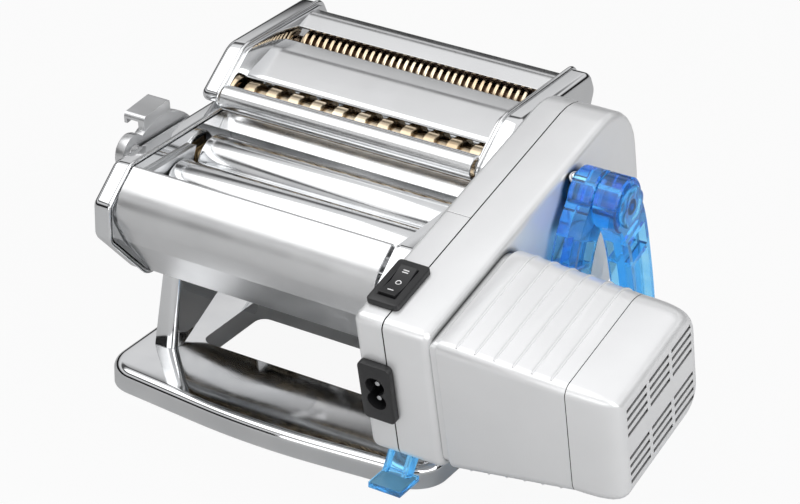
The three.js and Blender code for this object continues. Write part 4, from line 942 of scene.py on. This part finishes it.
def rocker_marks():
    """I, O and II, raised a little from the rocker's two slopes."""
    x, y = SWITCH
    slope = (ROCKER_TIP_Z - ROCKER_DIP_Z) / ROCKER_HALF_Y

    def height(along):
        return ROCKER_DIP_Z + slope * abs(along)

    def line(along):
        middle, z = y + along, height(along)
        return box(x - MARK_HALF_X, x + MARK_HALF_X, middle - MARK_HALF_Y, middle + MARK_HALF_Y,
                   z - MARK_LINE_ROOT, z + MARK_RISE)

    inner, outer = MARK_RING
    section = ((inner, -MARK_RING_ROOT), (inner, MARK_RISE), (outer, MARK_RISE), (outer, -MARK_RING_ROOT))
    ring = loft([[(x + r * math.cos(t), y + r * math.sin(t), height(r * math.sin(t)) + up)
                  for t in round_turns(MARK_RING_SIDES)] for r, up in section], closed=True)
    return joined(ring, *[line(along) for along in MARK_LINES])


# Inlet, whose pins and round wells stand above one another
INLET_PLATE = rectangle(8.3, 16.5, 2.5)
INLET_EASE = ((0, -0.05), (0, -2.9), (0.2, -3.4), (0.7, -3.6))
INLET_BODY = (6.4, 12.9, -1, 15.9)
INLET_DISC_SIDES = 40
PIN_PLACES = (-4.3, 4.3)
PIN_RADIUS = 1.25
PIN_Y = (-1.4, 13)
WELL_RADIUS = 4.9
WELL_Y = (-8, 12)
MIDDLE_WELL = (3, 3, *WELL_Y)


def inlet_disc(radius, up, near, far):
    x, z = INLET
    return prism([(x + radius * math.cos(t), z + up + radius * math.sin(t))
                  for t in round_turns(INLET_DISC_SIDES)], near, far, at_y)


def inlet():
    plate = loft([at_y(moved(rounded(inset(INLET_PLATE, d)), *INLET), y) for d, y in INLET_EASE])
    wells = [inlet_disc(WELL_RADIUS, up, *WELL_Y) for up in PIN_PLACES]
    return without(joined(plate, inlet_block(*INLET_BODY)), *wells, inlet_block(*MIDDLE_WELL))


unit_piece("switch_frame", switch_frame(), "motor_unit", BLACK, ["switch_bezel"], edge=0.2)
unit_piece("three_way_rocker", rocker(), "rocker", BLACK, ["switch_rocker"], edge=0.3)
unit_piece("rocker_marks", rocker_marks(), "rocker", WHITE_PAINT, edge=0)
unit_piece("two_pole_inlet", inlet(), "motor_unit", BLACK, ["power_inlet"])
for k, up in enumerate(PIN_PLACES):
    unit_piece(f"inlet_pin_{k + 1}", inlet_disc(PIN_RADIUS, up, *PIN_Y), "motor_unit", STEEL, edge=0.2)

# Legs, which follow smooth paths of (back, down) in the unit's frame
LEG_PIVOT = (132, -15)
LEG_PATHS = {
    "inner": [(132, 15), (117, 27), (106, 46), (98, 67), (92, 92), (73, 128)],
    "outer": [(132, 15), (138, 34), (141, 60), (142, 88), (141.5, 120), (140, 150)],
}
LEG_X = {"inner": 127.8, "outer": 140.9}
LEG_HALF_WIDTHS = [11, 10, 9.5, 9.5, 8.5, 7]
LEG_RIBS = [0.2, 0.32, 0.9]
LEG_RIB_SHARE = 0.02
LEG_RIM = 2.4
LEG_POCKET = 4
LEG_THICKNESS = 12.5
LEG_BAND_STEPS = 48
LEG_POCKET_STEPS = 30
LEG_LOOK = 0.01
LEG_HEEL = 7
LEG_HOLE = 4.3
KNUCKLE_RADIUS = 13.5
KNUCKLE_EASE = 0.9
KNUCKLE_SIDES = 64


def through(values, share):
    """A value on the smooth curve through evenly spaced values."""
    last = len(values) - 1
    k = min(int(share * last), last - 1)
    t = share * last - k
    a, b, c, d = (values[max(0, min(last, k + step))] for step in (-1, 0, 1, 2))
    return b + 0.5 * t * ((c - a) + t * ((2 * a - 5 * b + 4 * c - d) + t * (3 * (b - c) + d - a)))


def leg_band(path, start, end, steps, inwards):
    """The outline of a band along a path, from one share of its length to another."""
    backs = [back for back, down in path]
    downs = [down for back, down in path]
    left, right = [], []
    for k in range(steps + 1):
        share = start + (end - start) * k / steps
        here = Vector((through(backs, share), -through(downs, share)))
        ahead, behind = min(1, share + LEG_LOOK), max(0, share - LEG_LOOK)
        along = Vector((through(backs, ahead) - through(backs, behind),
                        through(downs, behind) - through(downs, ahead))).normalized()
        out = Vector((-along.y, along.x)) * (through(LEG_HALF_WIDTHS, share) - inwards)
        left.append(tuple(here - out))
        right.append(tuple(here + out))
    return left + right[::-1]


def leg(path, x):
    """An arm with a round knuckle and heel, hollowed from both faces between its ribs."""
    outer_x = x + LEG_THICKNESS
    heel_back, heel_down = path[-1]
    arm = prism(leg_band(path, 0, 1, LEG_BAND_STEPS, 0), x, outer_x)
    eased = KNUCKLE_RADIUS - KNUCKLE_EASE
    knuckle = turned([(x, eased), (x + KNUCKLE_EASE, KNUCKLE_RADIUS),
                      (outer_x - KNUCKLE_EASE, KNUCKLE_RADIUS), (outer_x, eased)], *LEG_PIVOT, KNUCKLE_SIDES)
    heel = bar(LEG_HEEL, x, outer_x, heel_back, -heel_down)
    pockets = []
    for start, end in zip(LEG_RIBS, LEG_RIBS[1:]):
        outline = leg_band(path, start + LEG_RIB_SHARE, end, LEG_POCKET_STEPS, LEG_RIM)
        pockets.append(prism(outline, x - OVERRUN, x + LEG_POCKET))
        pockets.append(prism(outline, outer_x - LEG_POCKET, outer_x + OVERRUN))
    hinge_hole = bar(LEG_HOLE, x - OVERRUN, outer_x + OVERRUN, *LEG_PIVOT)
    return without(joined(arm, knuckle, heel), *pockets, hinge_hole)


# Pin, with a rosette cap given as (x, inwards) and bars as (radius, first x, last x)
ROSETTE_RADIUS = 10.5
ROSETTE_LOBES = 6
ROSETTE_DEPTH_SHARE = 0.035
ROSETTE_PROFILE = ((153.7, 0.3), (154, 0), (155.2, 0), (155.8, 0.3), (156.2, 1), (156.3, 3), (155.9, 4.5),
                   (155.7, 6), (155.9, 7.5), (156.4, 8.4), (156.6, 9.8))
PIN_BARS = ((4, 122.3, 154), (6, 124, 127.5))


def lobed_ring(x, inwards):
    y, z = LEG_PIVOT
    points = []
    for t in round_turns(TURNED_SIDES):
        radius = (ROSETTE_RADIUS - inwards) * (1 - ROSETTE_DEPTH_SHARE * (1 - math.cos(ROSETTE_LOBES * t)))
        points.append((x, y + radius * math.cos(t), z + radius * math.sin(t)))
    return points


def leg_pin():
    cap = loft([lobed_ring(x, inwards) for x, inwards in ROSETTE_PROFILE])
    return joined(cap, *[bar(radius, first, last, *LEG_PIVOT) for radius, first, last in PIN_BARS])


# Ball-headed screw on the inner leg's inner face
BALL = (129.5, -5.2)
BALL_RADIUS = 3.5
BALL_STEPS = 10
BALL_TIP = 0.02
SCREW_RADIUS = 1.5
SCREW_LENGTH = 6


def ball_screw():
    face_x = LEG_X["inner"]
    turns = [math.pi / 2 * k / BALL_STEPS for k in range(1, BALL_STEPS + 1)]
    dome = [(face_x - BALL_RADIUS * math.cos(t), BALL_RADIUS * math.sin(t)) for t in turns]
    return turned([(face_x - BALL_RADIUS, BALL_TIP), *dome, (face_x + THIN_STEP, SCREW_RADIUS),
                   (face_x + SCREW_LENGTH, SCREW_RADIUS)], *BALL)


for word, path in LEG_PATHS.items():
    unit_piece(word + "_ribbed_leg", leg(path, LEG_X[word]), word + "_leg", BLUE, [word + "_leg"], edge=0.5)
unit_piece("rosette_pin", leg_pin(), "motor_unit", BLUE, ["leg_pin"], edge=0)
unit_piece("ball_screw", ball_screw(), "inner_leg", CHROME, ["leg_screw"], edge=0)


# Camera, floor and light
def put_camera():
    lens = bpy.data.cameras.new("camera")
    lens.lens = CAMERA_LENS
    lens.sensor_width = CAMERA_SENSOR
    lens.sensor_fit = "HORIZONTAL"
    lens.clip_start = CAMERA_NEAR
    camera = bpy.data.objects.new("camera", lens)
    right, up, back = Vector(CAMERA_RIGHT), -Vector(CAMERA_DOWN), -Vector(CAMERA_FORWARD)
    camera.matrix_world = Matrix.Translation(CAMERA_PLACE) @ Matrix((right, up, back)).transposed().to_4x4()
    bpy.context.scene.collection.objects.link(camera)
    bpy.context.scene.camera = camera


def lamp(name, place, target, size, watts):
    light = bpy.data.lights.new(name, "AREA")
    light.shape = "RECTANGLE"
    light.size, light.size_y = size
    light.energy = watts
    made = bpy.data.objects.new(name, light)
    made.location = place
    made.rotation_euler = (Vector(target) - Vector(place)).to_track_quat("-Z", "Y").to_euler()
    bpy.context.scene.collection.objects.link(made)


def white_glow(nodes, output):
    """White at a strength of 1, from the kind of node that fits a material's or a world's output."""
    in_material = output.bl_idname == "ShaderNodeOutputMaterial"
    glow = nodes.new("ShaderNodeEmission" if in_material else "ShaderNodeBackground")
    glow.inputs["Color"].default_value = (1, 1, 1, 1)
    glow.inputs["Strength"].default_value = 1
    return glow.outputs[0]


def seen_white(tree, surface, output, rays, share=1.0):
    """White, by the given share, to the named kinds of ray, and the given surface to all others."""
    nodes, links = tree.nodes, tree.links
    kinds = nodes.new("ShaderNodeLightPath").outputs
    factor = kinds[rays[0]]
    for kind in rays[1:]:
        either = nodes.new("ShaderNodeMath")
        either.operation = "MAXIMUM"
        links.new(factor, either.inputs[0])
        links.new(kinds[kind], either.inputs[1])
        factor = either.outputs["Value"]
    part = nodes.new("ShaderNodeMath")
    part.operation = "MULTIPLY"
    part.inputs[1].default_value = share
    links.new(factor, part.inputs[0])
    choice = nodes.new("ShaderNodeMixShader")
    links.new(part.outputs["Value"], choice.inputs["Fac"])
    links.new(surface, choice.inputs[1])
    links.new(white_glow(nodes, output), choice.inputs[2])
    links.new(choice.outputs["Shader"], output.inputs["Surface"])


def put_floor():
    mesh = bpy.data.meshes.new("floor")
    corners = [(-1, -1), (1, -1), (1, 1), (-1, 1)]
    mesh.from_pydata([(x * FLOOR_HALF, y * FLOOR_HALF, 0) for x, y in corners], [], [(0, 1, 2, 3)])
    floor = bpy.data.objects.new("floor", mesh)
    bpy.context.scene.collection.objects.link(floor)
    made = Nodes("pale_floor")
    made.set(Base_Color=FLOOR_GREY, Roughness=FLOOR_ROUGHNESS)
    seen_white(made.tree, made.shader.outputs["BSDF"], made.tree.nodes["Material Output"],
               ("Is Camera Ray", "Is Transmission Ray"), FLOOR_WHITE)
    dress(floor, made.material)


def put_world():
    """A bright studio with a dark belt near the horizon, which draws the dark lines in the chrome."""
    world = bpy.data.worlds.new("world")
    bpy.context.scene.world = world
    world.use_nodes = True
    nodes, links = world.node_tree.nodes, world.node_tree.links
    sky = nodes["Background"]
    split = nodes.new("ShaderNodeSeparateXYZ")
    links.new(nodes.new("ShaderNodeTexCoord").outputs["Generated"], split.inputs["Vector"])
    height = nodes.new("ShaderNodeMapRange")
    height.inputs["From Min"].default_value = -1
    links.new(split.outputs["Z"], height.inputs["Value"])
    belt = nodes.new("ShaderNodeValToRGB")
    links.new(height.outputs["Result"], belt.inputs["Fac"])
    ramp = belt.color_ramp
    for place, level in SKY:
        step = ramp.elements.new(place)
        step.color = (level, level, level * SKY_BLUE, 1)
    # The ramp's own black at 0 goes, and its white at 1 stays
    ramp.elements.remove(ramp.elements[0])
    links.new(belt.outputs["Color"], sky.inputs["Color"])
    sky.inputs["Strength"].default_value = SKY_LEVEL
    seen_white(world.node_tree, sky.outputs["Background"], nodes["World Output"],
               ("Is Camera Ray", "Is Transmission Ray"))


put_camera()
put_floor()
put_world()
for name, facts in LAMPS.items():
    lamp(name, *facts)
bpy.context.scene.view_settings.view_transform = "Standard"
